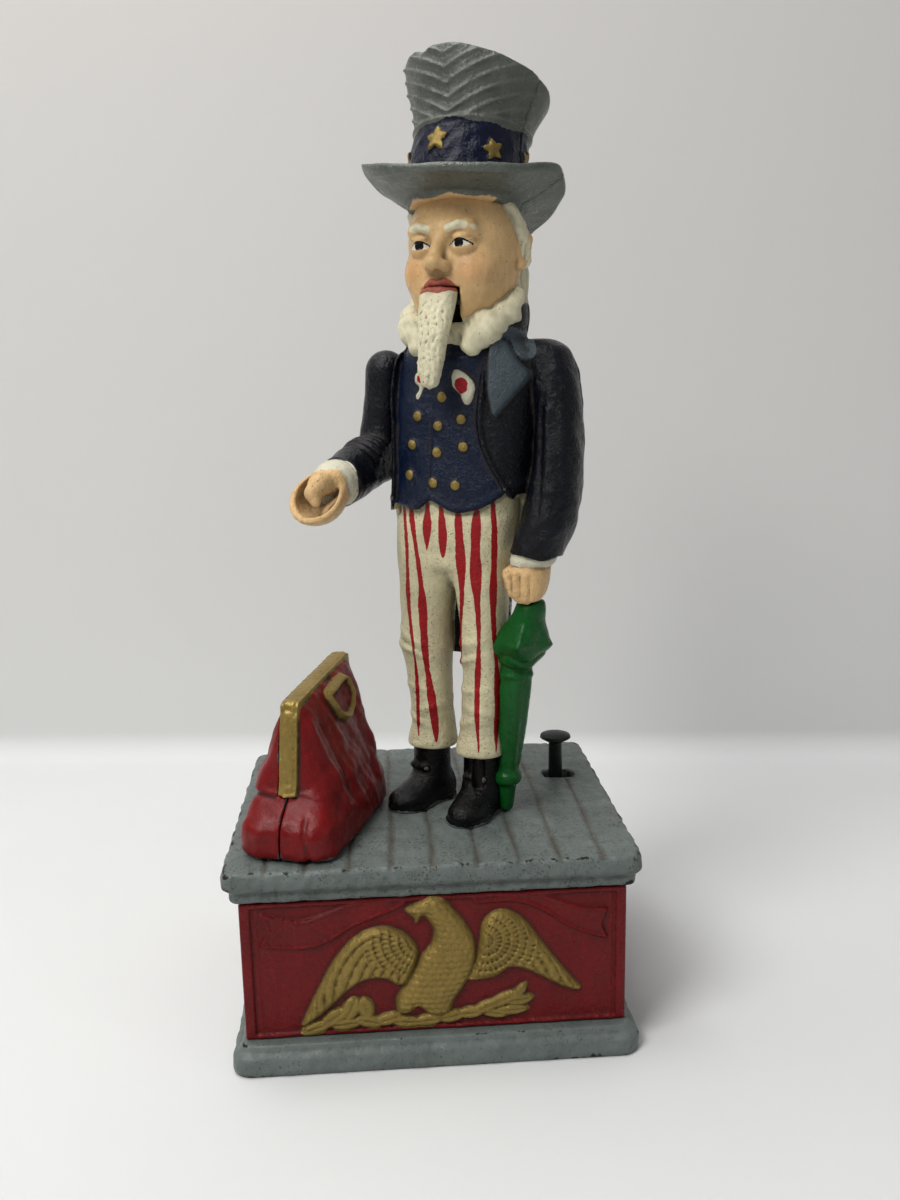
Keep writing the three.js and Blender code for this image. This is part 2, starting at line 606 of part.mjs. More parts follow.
function makeFigureHalves() {
  const outer = join(
    makeTorso(),
    makeLeg(LEG.right),
    makeLeg(LEG.left),
    makeShoe(LEG.right, 14),
    makeShoe(LEG.left, -4),
    makeLeftArm(),
    makeHead(),
    makeHat(),
  );
  const hollow = figureHollow();
  const { y, z } = SHOULDER;
  const lug = bar([11, y, z], [19, y, z], 4.4, 4.4, 16);
  const screwBosses = figureScrewPlaces.map((s) => bar([s.x, -8, s.z], [s.x, 12, s.z], 3.4, 3.4, 14));
  const shell = join(outer.subtract(hollow.open), lug, ...screwBosses);
  const screwHoles = figureScrewPlaces.map((s) => bar([s.x, -6, s.z], [s.x, 30, s.z], 1.5 + GAP));
  const screwHeads = figureScrewPlaces.map((s) => bar([s.x, screwSeat(s), s.z], [s.x, 30, s.z], 3.3, 3.3, 16));
  const footHoles = footScrewPlaces.map((s) => bar([s.x, s.y, -1], [s.x, s.y, s.top], 1.5 + GAP));
  const rivetCup = bar([10, -7.4, 7.4], [10, -7.4, 14], 2.5, 2.5, 16);
  const umbrellaRoom = umbrellaShape(GAP);
  const legSeat = join(
    box(-60, 60, FIGURE.splitY - GAP / 2, 60, 92, 300),
    box(-60, 60, 11.2 - GAP, 60, 30, 92.5),
  );
  const tools = [hollow.shaftSeat, hollow.jaw, ...screwHoles, ...screwHeads];
  const front = cut(shell, ...tools, legSeat, ...footHoles, rivetCup, umbrellaRoom);
  const backHalf = box(-60, 60, FIGURE.splitY + GAP / 2, 60, 92 + GAP, 300);
  const back = cut(join(shell, makeTails()), ...tools).intersect(join(backHalf, box(-60, 60, 11.2, 60, 30, 93)));
  const legsClear = join(makeLegClearance(LEG.right), makeLegClearance(LEG.left));
  return { front: onlyMain(front), back: onlyMain(back.subtract(legsClear)) };
}

// The head of each figure screw sinks into the coat's back to this depth.
const screwSeat = ({ z }) => (z > 100 ? 12 : 11.4);

function makeLegClearance({ x, y }) {
  return loft([[0, x, y, 9, 9.6], [52, x, y, 9, 9.6], [91.9, x * 0.85, y, 10, 11]]);
}

// Two coat tails hanging behind the legs from the trunk's back.
function makeTails() {
  const tail = (side) =>
    loft([
      [50, side * 9 + 1, 12.6, 5.4, 2],
      [66, side * 9 + 1, 13, 8.2, 2.5],
      [84, side * 9 + 1, 12.6, 9.6, 3],
      [100, side * 8 + 1.6, 10.6, 10.2, 4.2],
    ]);
  return join(tail(-1), tail(1));
}

// The largest connected body of a shape, without crumbs left by cutting.
function onlyMain(shape) {
  return shape.decompose().sort((a, b) => b.volume() - a.volume())[0];
}

function umbrellaShape(grow = 0) {
  const lean = { tilt: 0, yaw: 0 };
  const cloth = turned(
    [
      [0, 0.4 - grow], [1.9 + grow, 0.4 - grow], [2.7 + grow, 6], [4.3 + grow, 6.6], [4.3 + grow, 10.6],
      [3.5 + grow, 11.4], [4.9 + grow, 28], [5.3 + grow, 42], [5 + grow, 47], [5.6 + grow, 49],
      [9.2 + grow, 53.5], [6.2 + grow, 60], [3.6 + grow, 66.4 + grow], [0, 66.6 + grow],
    ],
    16,
  );
  const shear = new THREE.Matrix4().set(1, 0, 0.135, 17.4, 0, 1, -0.055, -0.9, 0, 0, 1, lean.tilt, 0, 0, 0, 1);
  return cloth.transform(shear.toArray());
}

function makeUmbrella() {
  const { x, y } = { x: 25.6, y: -4.2 };
  const hand = ellipsoid(x, y, 74.4, 6.6 + GAP, 6.8 + GAP, 8 + GAP);
  return onlyMain(umbrellaShape().subtract(hand));
}

function makeFigureScrew(place) {
  const seat = screwSeat(place) + GAP;
  return join(
    bar([place.x, seat, place.z], [place.x, seat + 1.8, place.z], 3, 2.6, 16),
    bar([place.x, -5, place.z], [place.x, seat + 0.2, place.z], 1.5),
  );
}

function makeFootScrew() {
  const { x, y, top } = footScrewPlaces[0];
  const under = PLATFORM.top - 5.5 - PLATFORM.top - GAP;
  return join(bar([x, y, under - 1.8], [x, y, under], 2.6, 3, 16), bar([x, y, under - 0.2], [x, y, top - GAP], 1.5));
}

function makeFootRivet() {
  const { x, y } = footScrewPlaces[1];
  const under = -5.5 - GAP;
  return join(
    bar([x, y, under - 1.6], [x, y, under], 2.6, 3, 16),
    bar([x, y, under - 0.2], [x, y, 8], 1.5),
    bar([x, y, 7.7], [x, y, 8.8], 2.1, 1.5),
  );
}

// The jaw: lower lip and goatee outside the face, and an arm with a pivot hub and a tail inside it.
function makeJaw() {
  const goatee = loft(
    [
      [133.6, 0, -23.6, 2.2, 1.6],
      [136, 0, -23.4, 3.4, 2.6],
      [143, 0, -22.2, 4.4, 3.2],
      [152, 0, -19.8, 5.2, 3.6],
      [158, 0, -17.8, 5.7, 3.8],
      [161.2, 0, -17, 5.8, 3.2],
    ],
    { squareness: 2.6 },
  );
  const arm = box(-3.4, 3.4, -16, 5.6, JAW.z - 2, JAW.z + 0.8);
  const hub = bar([-4.2, JAW.y, JAW.z], [4.2, JAW.y, JAW.z], 2.9, 2.9, 16);
  const weight = box(-3.8, 3.8, 3, 6.6, JAW.z - 1.9, JAW.z + 3.4);
  const bore = bar([-9, JAW.y, JAW.z], [9, JAW.y, JAW.z], JAW.pinRadius + GAP);
  return headPart(join(goatee, arm, hub, weight).subtract(bore));
}

function makeJawPin() {
  return headPart(bar([-9, JAW.y, JAW.z], [9, JAW.y, JAW.z], JAW.pinRadius));
}

// The swinging right arm, with its palm cupped upwards to hold a coin.
function makeRightArm() {
  const { y, z, shaftRadius } = SHOULDER;
  const upper = loft([
    [103.5, -24.4, 4.4, 5.2, 6.4],
    [108, -24.4, 4.6, 6, 7.6],
    [122, -24, 5, 5.8, 7.4],
    [137, -23.8, 5, 5.6, 7.8],
    [144, -22.8, 5, 3.8, 5],
  ]);
  const forearm = bar([-24.4, 4, 108], [-27.6, -20, 108], 6.8, 5.9, 16);
  const cuff = bar([-27.4, -19, 108], [-28, -23, 108], 6.4, 6.4, 16);
  const palm = ellipsoid(-30.6, -34, 103.6, 8.4, 13.4, 6.6, 16);
  const wrist = ellipsoid(-28.6, -25, 106.4, 4.8, 5, 4.6, 12);
  const cup = ellipsoid(-31.2, -35, 107.6, 6, 10.4, 6.4, 16);
  const thumb = bar([-24.6, -26, 108.4], [-26.6, -37, 110], 2.7, 2.2, 10);
  const hub = bar([-20, y, z], [-11, y, z], 4.3, 4.3, 20);
  const bore = bar([-26.3, y, z], [0, y, z], shaftRadius + GAP, shaftRadius + GAP, 16);
  const hand = join(palm.subtract(cup), wrist, thumb);
  return join(upper, forearm, cuff, hand, hub).subtract(bore);
}

// ---------------------------------------------------------------- the bag

const bagScrewPlaces = [
  { name: "bag_screw_front", u: 8.6, v: 12.4 },
  { name: "bag_screw_rear", u: 8.6, v: 52 },
];

function bagLoft(shrink, sections) {
  const rings = sections.map(([z, v, a, b]) => [z, 0, v, a - shrink, b - shrink]);
  return loft(rings, { segments: 32, squareness: 4.5 });
}

const bagOutside = [
  [0.3, 30.6, 13.6, 29.4],
  [10, 30.9, 13.7, 28.8],
  [16, 31.4, 12.4, 28],
  [26, 32.4, 9.2, 26.4],
  [36, 33.8, 6, 24],
  [44.5, 35, 3, 21.8],
];
const bagInside = [
  [-1, 30.6, 13.6, 29.4],
  [10, 30.9, 13.7, 28.8],
  [16, 31.4, 12.4, 28],
  [26, 32.4, 9.6, 26.4],
  [36, 33.8, 6.2, 24],
  [41.5, 34.6, 4, 22.4],
];

function bagFrame(grow = 0) {
  const [half, thick] = [2.7 + grow, 1.3 + grow];
  const near = new THREE.Shape();
  near.moveTo(8.4 - thick, 17.6 - grow);
  near.lineTo(12.6 - thick, 42);
  near.quadraticCurveTo(13.4, 46, 17, 46 + grow);
  near.lineTo(53.6, 46 + grow);
  near.quadraticCurveTo(57.6, 46, 58 + thick, 42);
  near.lineTo(60 + thick, 30 - grow);
  near.lineTo(56, 30 - grow);
  near.lineTo(53.4, 42.2 - grow);
  near.lineTo(17, 42.2 - grow);
  near.lineTo(10.4 + grow, 17.6 - grow);
  near.lineTo(8.4 - thick, 17.6 - grow);
  const geometry = new THREE.ExtrudeGeometry(near, { depth: 2 * half, bevelEnabled: false, curveSegments: 4 });
  return solid(geometry.translate(0, 0, -half).rotateY(Math.PI / 2).rotateX(Math.PI / 2));
}

function makeBagBody() {
  const wall = 2.6;
  const shell = bagLoft(0, bagOutside).subtract(bagLoft(wall, bagInside));
  const half = shell.intersect(box(GAP / 2, 40, -10, 80, -5, 60));
  const bosses = bagScrewPlaces.map(({ u, v }) => bar([u, v, 0.3], [u, v, 9], 2.9, 2.9, 14));
  const bossInside = join(...bosses).intersect(bagLoft(0.5, bagOutside));
  const holes = bagScrewPlaces.map(({ u, v }) => bar([u, v, -1], [u, v, 7.6], 1.4 + GAP));
  return onlyMain(cut(join(half, bossInside, bagFrame()), ...holes));
}

function makeBagDoor() {
  const wall = 2.6;
  const { hingeU: u, hingeZ: z, pinRadius } = BAG;
  const shell = bagLoft(0, bagOutside).subtract(bagLoft(wall, bagInside));
  const half = shell.intersect(box(-40, -GAP / 2, -10, 80, 2, 60));
  const lugs = [16.8, 41.4].map((v) =>
    join(bar([u, v - 1.5, z], [u, v + 1.5, z], 2.6), box(-13, u, v - 1.5, v + 1.5, 2.2, 5.2)),
  );
  const { tailU, tailV } = BAG;
  const tail = join(
    box(tailU - 1.2, tailU + 1.2, tailV - 1.6, tailV + 1.6, -13.9, 9),
    box(-12.6, tailU + 1.2, tailV - 1.6, tailV + 1.6, 5.4, 9),
  );
  const bore = bar([u, 0, z], [u, 60, z], pinRadius + GAP);
  const trimmed = join(half.subtract(bagFrame(0.9)), ...lugs, tail);
  return onlyMain(trimmed.subtract(bore));
}

function makeBagPin() {
  return bar([BAG.hingeU, 9.6, BAG.hingeZ], [BAG.hingeU, 48.4, BAG.hingeZ], BAG.pinRadius);
}

function makeBagScrew({ u, v }) {
  const under = -5.5 - GAP;
  return join(bar([u, v, under - 1.8], [u, v, under], 2.3, 2.7, 14), bar([u, v, under - 0.2], [u, v, 7.3], 1.4));
}

// ---------------------------------------------------------------- assembly

const bank = new THREE.Group();

bank.add(piece("base_plate", makeBase(), "grey"));
bank.add(piece("platform", makePlatform(), "grey"));

const frontPanel = piece("front_panel", makePanel(BOX.width, [birdRelief()]), "red");
frontPanel.position.y = -BOX.depth / 2;
const backPanel = piece("back_panel", makePanel(BOX.width), "red");
backPanel.rotation.z = Math.PI;
backPanel.position.y = BOX.depth / 2;
bank.add(frontPanel, backPanel);
for (const side of [-1, 1]) {
  const sideLength = BOX.depth - 2 * BOX.wall - 2 * GAP;
  const panel = piece(side < 0 ? "left_panel" : "right_panel", makePanel(sideLength), "red");
  panel.rotation.z = (side * Math.PI) / 2;
  panel.position.x = (side * BOX.width) / 2;
  bank.add(panel);
}

for (const { name, x, y } of boltPlaces) bank.add(piece(name, makeCaseBolt(x, y), "steel"));
bank.add(piece("coin_trap_cover", makeTrapCover(), "iron"));
bank.add(piece("trap_pivot_screw", makeTrapScrew(TRAP.pivotX), "steel"));
bank.add(piece("trap_catch_screw", makeTrapScrew(-TRAP.pivotX), "steel"));

bank.add(piece("thumb_lever", makeThumbLever(), "iron"));
bank.add(piece("lever_pivot_pin", makeLeverPin(), "steel"));
bank.add(piece("return_spring", makeSpring(), "steel"));

const figure = new THREE.Group();
figure.position.set(FIGURE.x, FIGURE.y, PLATFORM.top);
figure.rotation.z = rad(-FIGURE.yaw);
const halves = makeFigureHalves();
figure.add(piece("figure_front", halves.front, "navy"));
figure.add(piece("figure_back", halves.back, "navy"));
figure.add(piece("umbrella", makeUmbrella(), "green"));
for (const place of figureScrewPlaces) figure.add(piece(place.name, makeFigureScrew(place), "steel"));
figure.add(piece("foot_screw", makeFootScrew(), "steel"));
figure.add(piece("foot_rivet", makeFootRivet(), "steel"));
figure.add(piece("right_arm", makeRightArm(), "navy"));
figure.add(piece("shoulder_shaft", makeShoulderShaft(), "steel"));
figure.add(piece("arm_crank", makeCrank(), "iron"));
figure.add(piece("pull_rod", makePullRod(), "steel"));
figure.add(piece("jaw_rod", makeJawRod(), "steel"));
figure.add(piece("jaw", makeJaw(), "cream"));
figure.add(piece("jaw_pin", makeJawPin(), "steel"));
bank.add(figure);

const bag = new THREE.Group();
bag.position.set(BAG.x, BAG.y, PLATFORM.top);
bag.rotation.z = rad(-BAG.yaw);
bag.add(piece("bag_body", makeBagBody(), "red"));
bag.add(piece("bag_door", makeBagDoor(), "red"));
bag.add(piece("bag_hinge_pin", makeBagPin(), "steel"));
for (const place of bagScrewPlaces) bag.add(piece(place.name, makeBagScrew(place), "steel"));
bank.add(bag);

export default bank;
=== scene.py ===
"""Looks for the mechanical bank: castings modelled as clay volumes, and hand-painted enamel materials.

Clay volumes are signed distances in millimetres (negative inside). The figure is modelled in its own
turned frame: x to its left, y to its back, z up from the platform's top.
"""

import math

import bpy
import numpy as np
import openvdb
from mathutils import Matrix, Vector


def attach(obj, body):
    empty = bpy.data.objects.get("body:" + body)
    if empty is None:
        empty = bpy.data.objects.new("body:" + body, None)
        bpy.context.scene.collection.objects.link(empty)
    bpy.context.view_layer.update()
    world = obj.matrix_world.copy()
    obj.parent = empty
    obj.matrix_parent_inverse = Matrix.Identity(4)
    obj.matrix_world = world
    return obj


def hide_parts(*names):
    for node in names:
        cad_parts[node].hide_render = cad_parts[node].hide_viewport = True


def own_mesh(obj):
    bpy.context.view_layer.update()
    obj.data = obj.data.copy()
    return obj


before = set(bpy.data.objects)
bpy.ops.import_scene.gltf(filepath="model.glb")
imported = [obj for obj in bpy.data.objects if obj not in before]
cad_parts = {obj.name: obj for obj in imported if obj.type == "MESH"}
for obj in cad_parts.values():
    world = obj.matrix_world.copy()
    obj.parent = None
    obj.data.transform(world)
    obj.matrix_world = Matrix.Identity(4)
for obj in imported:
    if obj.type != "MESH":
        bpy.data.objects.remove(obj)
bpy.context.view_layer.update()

MM = 0.001
STEP = 0.55  # clay voxel size on the figure, mm
FINE = 0.4  # clay voxel size on smaller castings, mm
BOX_STEP = .66  # clay voxel size on the platform and base, mm
EMPTY = 4.0  # distance that fills clay before anything is added
AWAY = -9.0  # value of a paint zone where it can't be

DECK_TOP, DECK_BOTTOM = 62.5, 52
FIGURE_AT = (10.0, -5.8, DECK_TOP)
FIGURE_YAW = 24.0
HEAD_AT = (4.0, 5.0, 0.0)
HEAD_YAW = 8.0
SPLIT_Y = 5.0  # the seam between the figure's front and back castings
SEAM = .12  # half the width of that seam
SHOULDER_Y, SHOULDER_Z = 5.0, 138.0
JAW_Y, JAW_Z = -7.0, 160.0
# the crank's two arms, and its angle at rest
CRANK_FRONT, CRANK_REAR, CRANK_REST = 4.5, 3.7, math.radians(14)
ROD_Y = SHOULDER_Y - CRANK_FRONT * math.cos(CRANK_REST)
JAW_ROD_Y = SHOULDER_Y + CRANK_REAR * math.cos(CRANK_REST)
BAG_AT = (-44.3, -45.9, DECK_TOP)
BAG_YAW = 18.0


# ---------------------------------------------------------------- numeric clay

def smin(a, b, k):
    """Smooth minimum: the join is rounded over k."""
    if k <= 0:
        return np.minimum(a, b)
    h = np.maximum(k - np.abs(a - b), 0) / k
    return np.minimum(a, b) - h * h * k * 0.25


def smax(a, b, k):
    """Smooth maximum: the join is rounded over k."""
    return -smin(-a, -b, k)


def step01(lo, hi, v):
    """Smooth step from 0 at lo to 1 at hi."""
    t = np.clip((v - lo) / (hi - lo), 0, 1)
    return t * t * (3 - 2 * t)


def turn(yaw=0.0, tilt=0.0, lean=0.0):
    """Rotation matrix: lean about y, then tilt about x, then clockwise yaw about z, in degrees."""
    a, b, c = (math.radians(v) for v in (-yaw, tilt, lean))
    rz = np.array([[math.cos(a), -math.sin(a), 0], [math.sin(a), math.cos(a), 0], [0, 0, 1]])
    rx = np.array([[1, 0, 0], [0, math.cos(b), -math.sin(b)], [0, math.sin(b), math.cos(b)]])
    ry = np.array([[math.cos(c), 0, math.sin(c)], [0, 1, 0], [-math.sin(c), 0, math.cos(c)]])
    return rz @ rx @ ry


class Shape:
    """A distance function with a box that holds the solid."""

    def __init__(self, f, lo, hi):
        self.f, self.lo, self.hi = f, np.array(lo, float), np.array(hi, float)

    def at(self, origin=(0, 0, 0), **angles):
        m, o = turn(**angles), np.array(origin, float)
        f = self.f

        def moved(x, y, z):
            x, y, z = x - o[0], y - o[1], z - o[2]
            return f(
                m[0, 0] * x + m[1, 0] * y + m[2, 0] * z,
                m[0, 1] * x + m[1, 1] * y + m[2, 1] * z,
                m[0, 2] * x + m[1, 2] * y + m[2, 2] * z,
            )

        corners = np.array([[(self.lo, self.hi)[i][0], (self.lo, self.hi)[j][1], (self.lo, self.hi)[k][2]]
                            for i in (0, 1) for j in (0, 1) for k in (0, 1)]) @ m.T + o
        return Shape(moved, corners.min(0), corners.max(0))

    def __call__(self, x, y, z):
        return self.f(x, y, z)


def union(*shapes, k=0.0):
    """Shapes melted together."""
    def f(x, y, z):
        d = shapes[0].f(x, y, z)
        for s in shapes[1:]:
            d = smin(d, s.f(x, y, z), k)
        return d
    return Shape(f, np.min([s.lo for s in shapes], 0), np.max([s.hi for s in shapes], 0))


def both(a, b, k=0.0):
    """The part that two shapes share."""
    return Shape(lambda x, y, z: smax(a.f(x, y, z), b.f(x, y, z), k),
                 np.maximum(a.lo, b.lo), np.minimum(a.hi, b.hi))


def grown(shape, by):
    return Shape(lambda x, y, z: shape.f(x, y, z) - by, shape.lo - by, shape.hi + by)


def egg(c, r):
    """An ellipsoid."""
    c, r = np.array(c, float), np.broadcast_to(np.array(r, float), 3)

    def f(x, y, z):
        p = [(v - o) / s for v, o, s in zip((x, y, z), c, r)]
        k0 = np.sqrt(p[0] ** 2 + p[1] ** 2 + p[2] ** 2) + 1e-6
        k1 = np.sqrt((p[0] / r[0]) ** 2 + (p[1] / r[1]) ** 2 + (p[2] / r[2]) ** 2) + 1e-6
        return k0 * (k0 - 1) / k1
    return Shape(f, c - r, c + r)


def rod(a, b, ra, rb=None):
    """A straight rod that tapers between two radii."""
    rb = ra if rb is None else rb
    a, b = np.array(a, float), np.array(b, float)
    ab = b - a
    n = float(ab @ ab) or 1.0

    def f(x, y, z):
        px, py, pz = x - a[0], y - a[1], z - a[2]
        t = np.clip((px * ab[0] + py * ab[1] + pz * ab[2]) / n, 0, 1)
        return np.sqrt((px - t * ab[0]) ** 2 + (py - t * ab[1]) ** 2
                       + (pz - t * ab[2]) ** 2) - (ra + t * (rb - ra))
    r = max(ra, rb)
    return Shape(f, np.minimum(a, b) - r, np.maximum(a, b) + r)


def drum(a, b, r):
    """A flat-ended cylinder along one axis."""
    a, b = np.array(a, float), np.array(b, float)
    axis = int(np.argmax(np.abs(b - a)))
    others = [i for i in range(3) if i != axis]

    def f(x, y, z):
        p = (x, y, z)
        radial = np.sqrt((p[others[0]] - a[others[0]]) ** 2 + (p[others[1]] - a[others[1]]) ** 2) - r
        lo, hi = min(a[axis], b[axis]), max(a[axis], b[axis])
        return np.maximum(radial, np.maximum(lo - p[axis], p[axis] - hi))
    pad = np.full(3, float(r))
    pad[axis] = 0
    return Shape(f, np.minimum(a, b) - pad, np.maximum(a, b) + pad)


def chain(points, radii, k=0.6):
    """Rods through a row of points."""
    return union(*[rod(points[i], points[i + 1], radii[i], radii[i + 1]) for i in range(len(points) - 1)],
                 k=k)


def block(lo, hi, r=0.0):
    """A box with rounded edges."""
    lo, hi = np.array(lo, float), np.array(hi, float)
    c, h = (lo + hi) / 2, (hi - lo) / 2 - r

    def f(x, y, z):
        q = [np.abs(v - o) - s for v, o, s in zip((x, y, z), c, h)]
        out = np.sqrt(sum(np.maximum(v, 0) ** 2 for v in q))
        return out + np.minimum(np.maximum(q[0], np.maximum(q[1], q[2])), 0) - r
    return Shape(f, lo, hi)


def curve_table(rows, n=160):
    """Rows of [t, ...] as smooth columns sampled at n values of t."""
    rows = np.array(rows, float)
    t = rows[:, 0]
    fine = np.linspace(t[0], t[-1], n)
    i = np.clip(np.searchsorted(t, fine, side="right") - 1, 0, len(t) - 2)
    h = t[i + 1] - t[i]
    s = (fine - t[i]) / h
    out = [fine]
    for col in rows.T[1:]:
        m = np.gradient(col, t)
        out.append((2 * s**3 - 3 * s**2 + 1) * col[i] + (s**3 - 2 * s**2 + s) * h * m[i]
                   + (3 * s**2 - 2 * s**3) * col[i + 1] + (s**3 - s**2) * h * m[i + 1])
    return out


def loft(rows, n=2.0, cap=1.0):
    """Oval rings stacked in z: each row is [z, x, y, half width, half depth]."""
    t, cx, cy, ca, cb = curve_table(rows)

    def f(x, y, z):
        zz = np.clip(z, t[0], t[-1])
        a, b = np.interp(zz, t, ca), np.interp(zz, t, cb)
        dx, dy = np.abs(x - np.interp(zz, t, cx)) + 1e-6, np.abs(y - np.interp(zz, t, cy)) + 1e-6
        q = ((dx / a) ** n + (dy / b) ** n) ** (1 / n)
        g = np.sqrt((dx ** (n - 1) / a**n) ** 2 + (dy ** (n - 1) / b**n) ** 2) * q ** (1 - n)
        side = (q - 1) / np.maximum(g, 1e-4)
        return smax(side, np.maximum(t[0] - z, z - t[-1]), cap)
    return Shape(f, [(cx - ca).min(), (cy - cb).min(), t[0]], [(cx + ca).max(), (cy + cb).max(), t[-1]])


def outline(points, n=4):
    """A smooth closed outline through 2-D points."""
    p = np.array(points, float)
    out = []
    for i in range(len(p)):
        a, b, c, d = (p[(i + j) % len(p)] for j in (-1, 0, 1, 2))
        for s in np.linspace(0, 1, n, endpoint=False):
            out.append(0.5 * (2 * b + (c - a) * s + (2 * a - 5 * b + 4 * c - d) * s * s
                              + (3 * b - a - 3 * c + d) * s**3))
    return np.array(out)


def inside(poly, u, v):
    """Signed distance to a closed outline, positive inside, for arrays u and v."""
    u, v = np.broadcast_arrays(u, v)
    best = np.full(u.shape, 1e9)
    sign = np.ones(u.shape)
    for (ax, ay), (bx, by) in zip(poly, np.roll(poly, -1, 0)):
        ex, ey = bx - ax, by - ay
        wx, wy = u - ax, v - ay
        t = np.clip((wx * ex + wy * ey) / (ex * ex + ey * ey + 1e-12), 0, 1)
        best = np.minimum(best, (wx - ex * t) ** 2 + (wy - ey * t) ** 2)
        c1, c2, c3 = v >= ay, v < by, ex * wy > ey * wx
        flip = (c1 & c2 & c3) | (~c1 & ~c2 & ~c3)
        sign = np.where(flip, -sign, sign)
    return -sign * np.sqrt(best)


def dome(depth, width, height):
    """Height of a rounded raised shape, from the distance inside its outline."""
    s = np.clip(depth / width, 0, 1)
    return height * np.sqrt(1 - (1 - s) ** 2)


def wobble(x, y, z, size, seed=0.0):
    """Smooth value in about -1..1 that varies over size mm."""
    w = 2 * math.pi / size
    return (np.sin(w * (x + 0.6 * y) + 1.7 * seed + 1.3 * np.sin(w * 0.7 * z + seed))
            + np.sin(w * (0.9 * z - 0.5 * x) * 1.3 + 2.3 * seed + 1.1 * np.sin(w * 0.8 * y - seed))
            + np.sin(w * (0.8 * y + 0.4 * z) * 1.7 + 3.1 * seed)) / 3


class Clay:
    """A box of distances on a regular lattice, that shapes are added to and cut from."""

    def __init__(self, lo, hi, step):
        self.step = step
        self.lo = np.array(lo, float)
        n = np.ceil((np.array(hi, float) - self.lo) / step).astype(int) + 1
        self.axes = [self.lo[i] + step * np.arange(n[i]) for i in range(3)]
        self.d = np.full(n, EMPTY, np.float32)

    def window(self, lo, hi, pad=2.5):
        """The slices and coordinates of the lattice points in a box."""
        cuts = [slice(int(np.searchsorted(a, l - pad)), int(np.searchsorted(a, h + pad)))
                for a, l, h in zip(self.axes, lo, hi)]
        grids = [a[c].reshape([-1 if i == j else 1 for j in range(3)])
                 for i, (a, c) in enumerate(zip(self.axes, cuts))]
        return tuple(cuts), grids

    def add(self, shape, k=0.0):
        """Adds a solid, with the join rounded over k."""
        cut, grids = self.window(shape.lo, shape.hi, 2.5 + k)
        if self.d[cut].size:
            self.d[cut] = smin(self.d[cut], shape.f(*grids), k)
        return self

    def cut(self, shape, k=0.0):
        """Cuts a solid away, with the edge rounded over k."""
        cut, grids = self.window(shape.lo, shape.hi, 2.5 + k)
        self.d[cut] = smax(self.d[cut], -shape.f(*grids), k)
        return self

    def keep(self, f):
        """Keeps only what is on the positive side of f."""
        self.d = np.maximum(self.d, -f(*self.window([-1e9] * 3, [1e9] * 3)[1])).astype(np.float32)
        return self

    def raise_by(self, f, lo, hi):
        """Adds a height in mm to the surface inside a box."""
        cut, grids = self.window(lo, hi, 0)
        self.d[cut] -= f(*grids)
        return self

    def surface(self):
        """Closes the volume at the box's faces, and meshes it in mm."""
        far = 3
        d = np.clip(self.d, -far, far).astype(np.float32)
        for axis in range(3):
            for end in (0, -1):
                cut = [slice(None)] * 3
                cut[axis] = end
                d[tuple(cut)] = far
        grid = openvdb.FloatGrid(far)
        grid.copyFromArray(d)
        points, quads = grid.convertToQuads(0.0)
        return drop_crumbs(points * self.step + self.lo, quads)

    def sub(self, lo, hi):
        """An empty clay volume on the same lattice, within a box."""
        start = np.floor((np.array(lo, float) - self.lo) / self.step).astype(int).clip(0)
        stop = np.minimum(np.ceil((np.array(hi, float) - self.lo) / self.step).astype(int) + 1, self.d.shape)
        other = Clay.__new__(Clay)
        other.step, other.lo, other.start = self.step, self.lo + start * self.step, start
        other.axes = [a[i:j] for a, i, j in zip(self.axes, start, stop)]
        other.d = np.full(stop - start, EMPTY, np.float32)
        return other

    def merge(self, part, k=0.0):
        """Adds a volume that sub made."""
        cut = tuple(slice(i, i + n) for i, n in zip(part.start, part.d.shape))
        self.d[cut] = smin(self.d[cut], part.d, k)
        return self

    def copy(self):
        other = Clay.__new__(Clay)
        other.step, other.lo, other.axes, other.d = self.step, self.lo, self.axes, self.d.copy()
        return other


def drop_crumbs(points, quads, least=0.02):
    """Keeps only the connected pieces that hold a fair share of the faces."""
    label = np.arange(len(points))
    while True:
        low = label[quads].min(1)
        new = label.copy()
        for j in range(4):
            np.minimum.at(new, quads[:, j], low)
        new = new[new]
        if (new == label).all():
            break
        label = new
    face = label[quads[:, 0]]
    names, counts = np.unique(face, return_counts=True)
    keep = np.isin(face, names[counts >= least * len(quads)])
    quads = quads[keep]
    used = np.unique(quads)
    remap = np.zeros(len(points), int)
    remap[used] = np.arange(len(used))
    return points[used], remap[quads]


def ridges(points, quads, rounds=3):
    """How convex the surface is at each point: above 0 on edges, below 0 in hollows."""
    a = quads.ravel()
    b = np.roll(quads, -1, 1).ravel()
    count = np.bincount(a, minlength=len(points)) + np.bincount(b, minlength=len(points))
    count = np.maximum(count, 1)

    def mean(v):
        return np.stack([(np.bincount(a, v[:, i][b], len(points)) + np.bincount(b, v[:, i][a], len(points)))
                         / count for i in range(v.shape[1])], 1)
    d1, d2 = points[quads[:, 2]] - points[quads[:, 0]], points[quads[:, 3]] - points[quads[:, 1]]
    n = np.cross(d1, d2)
    normal = np.stack([np.bincount(a, np.repeat(n[:, i], 4), len(points)) for i in range(3)], 1)
    normal /= np.linalg.norm(normal, axis=1, keepdims=True) + 1e-9
    soft = points
    for _ in range(rounds):
        soft = mean(soft)
    value = ((points - soft) * normal).sum(1, keepdims=True)
    for _ in range(2):
        value = mean(value)
    return value[:, 0]


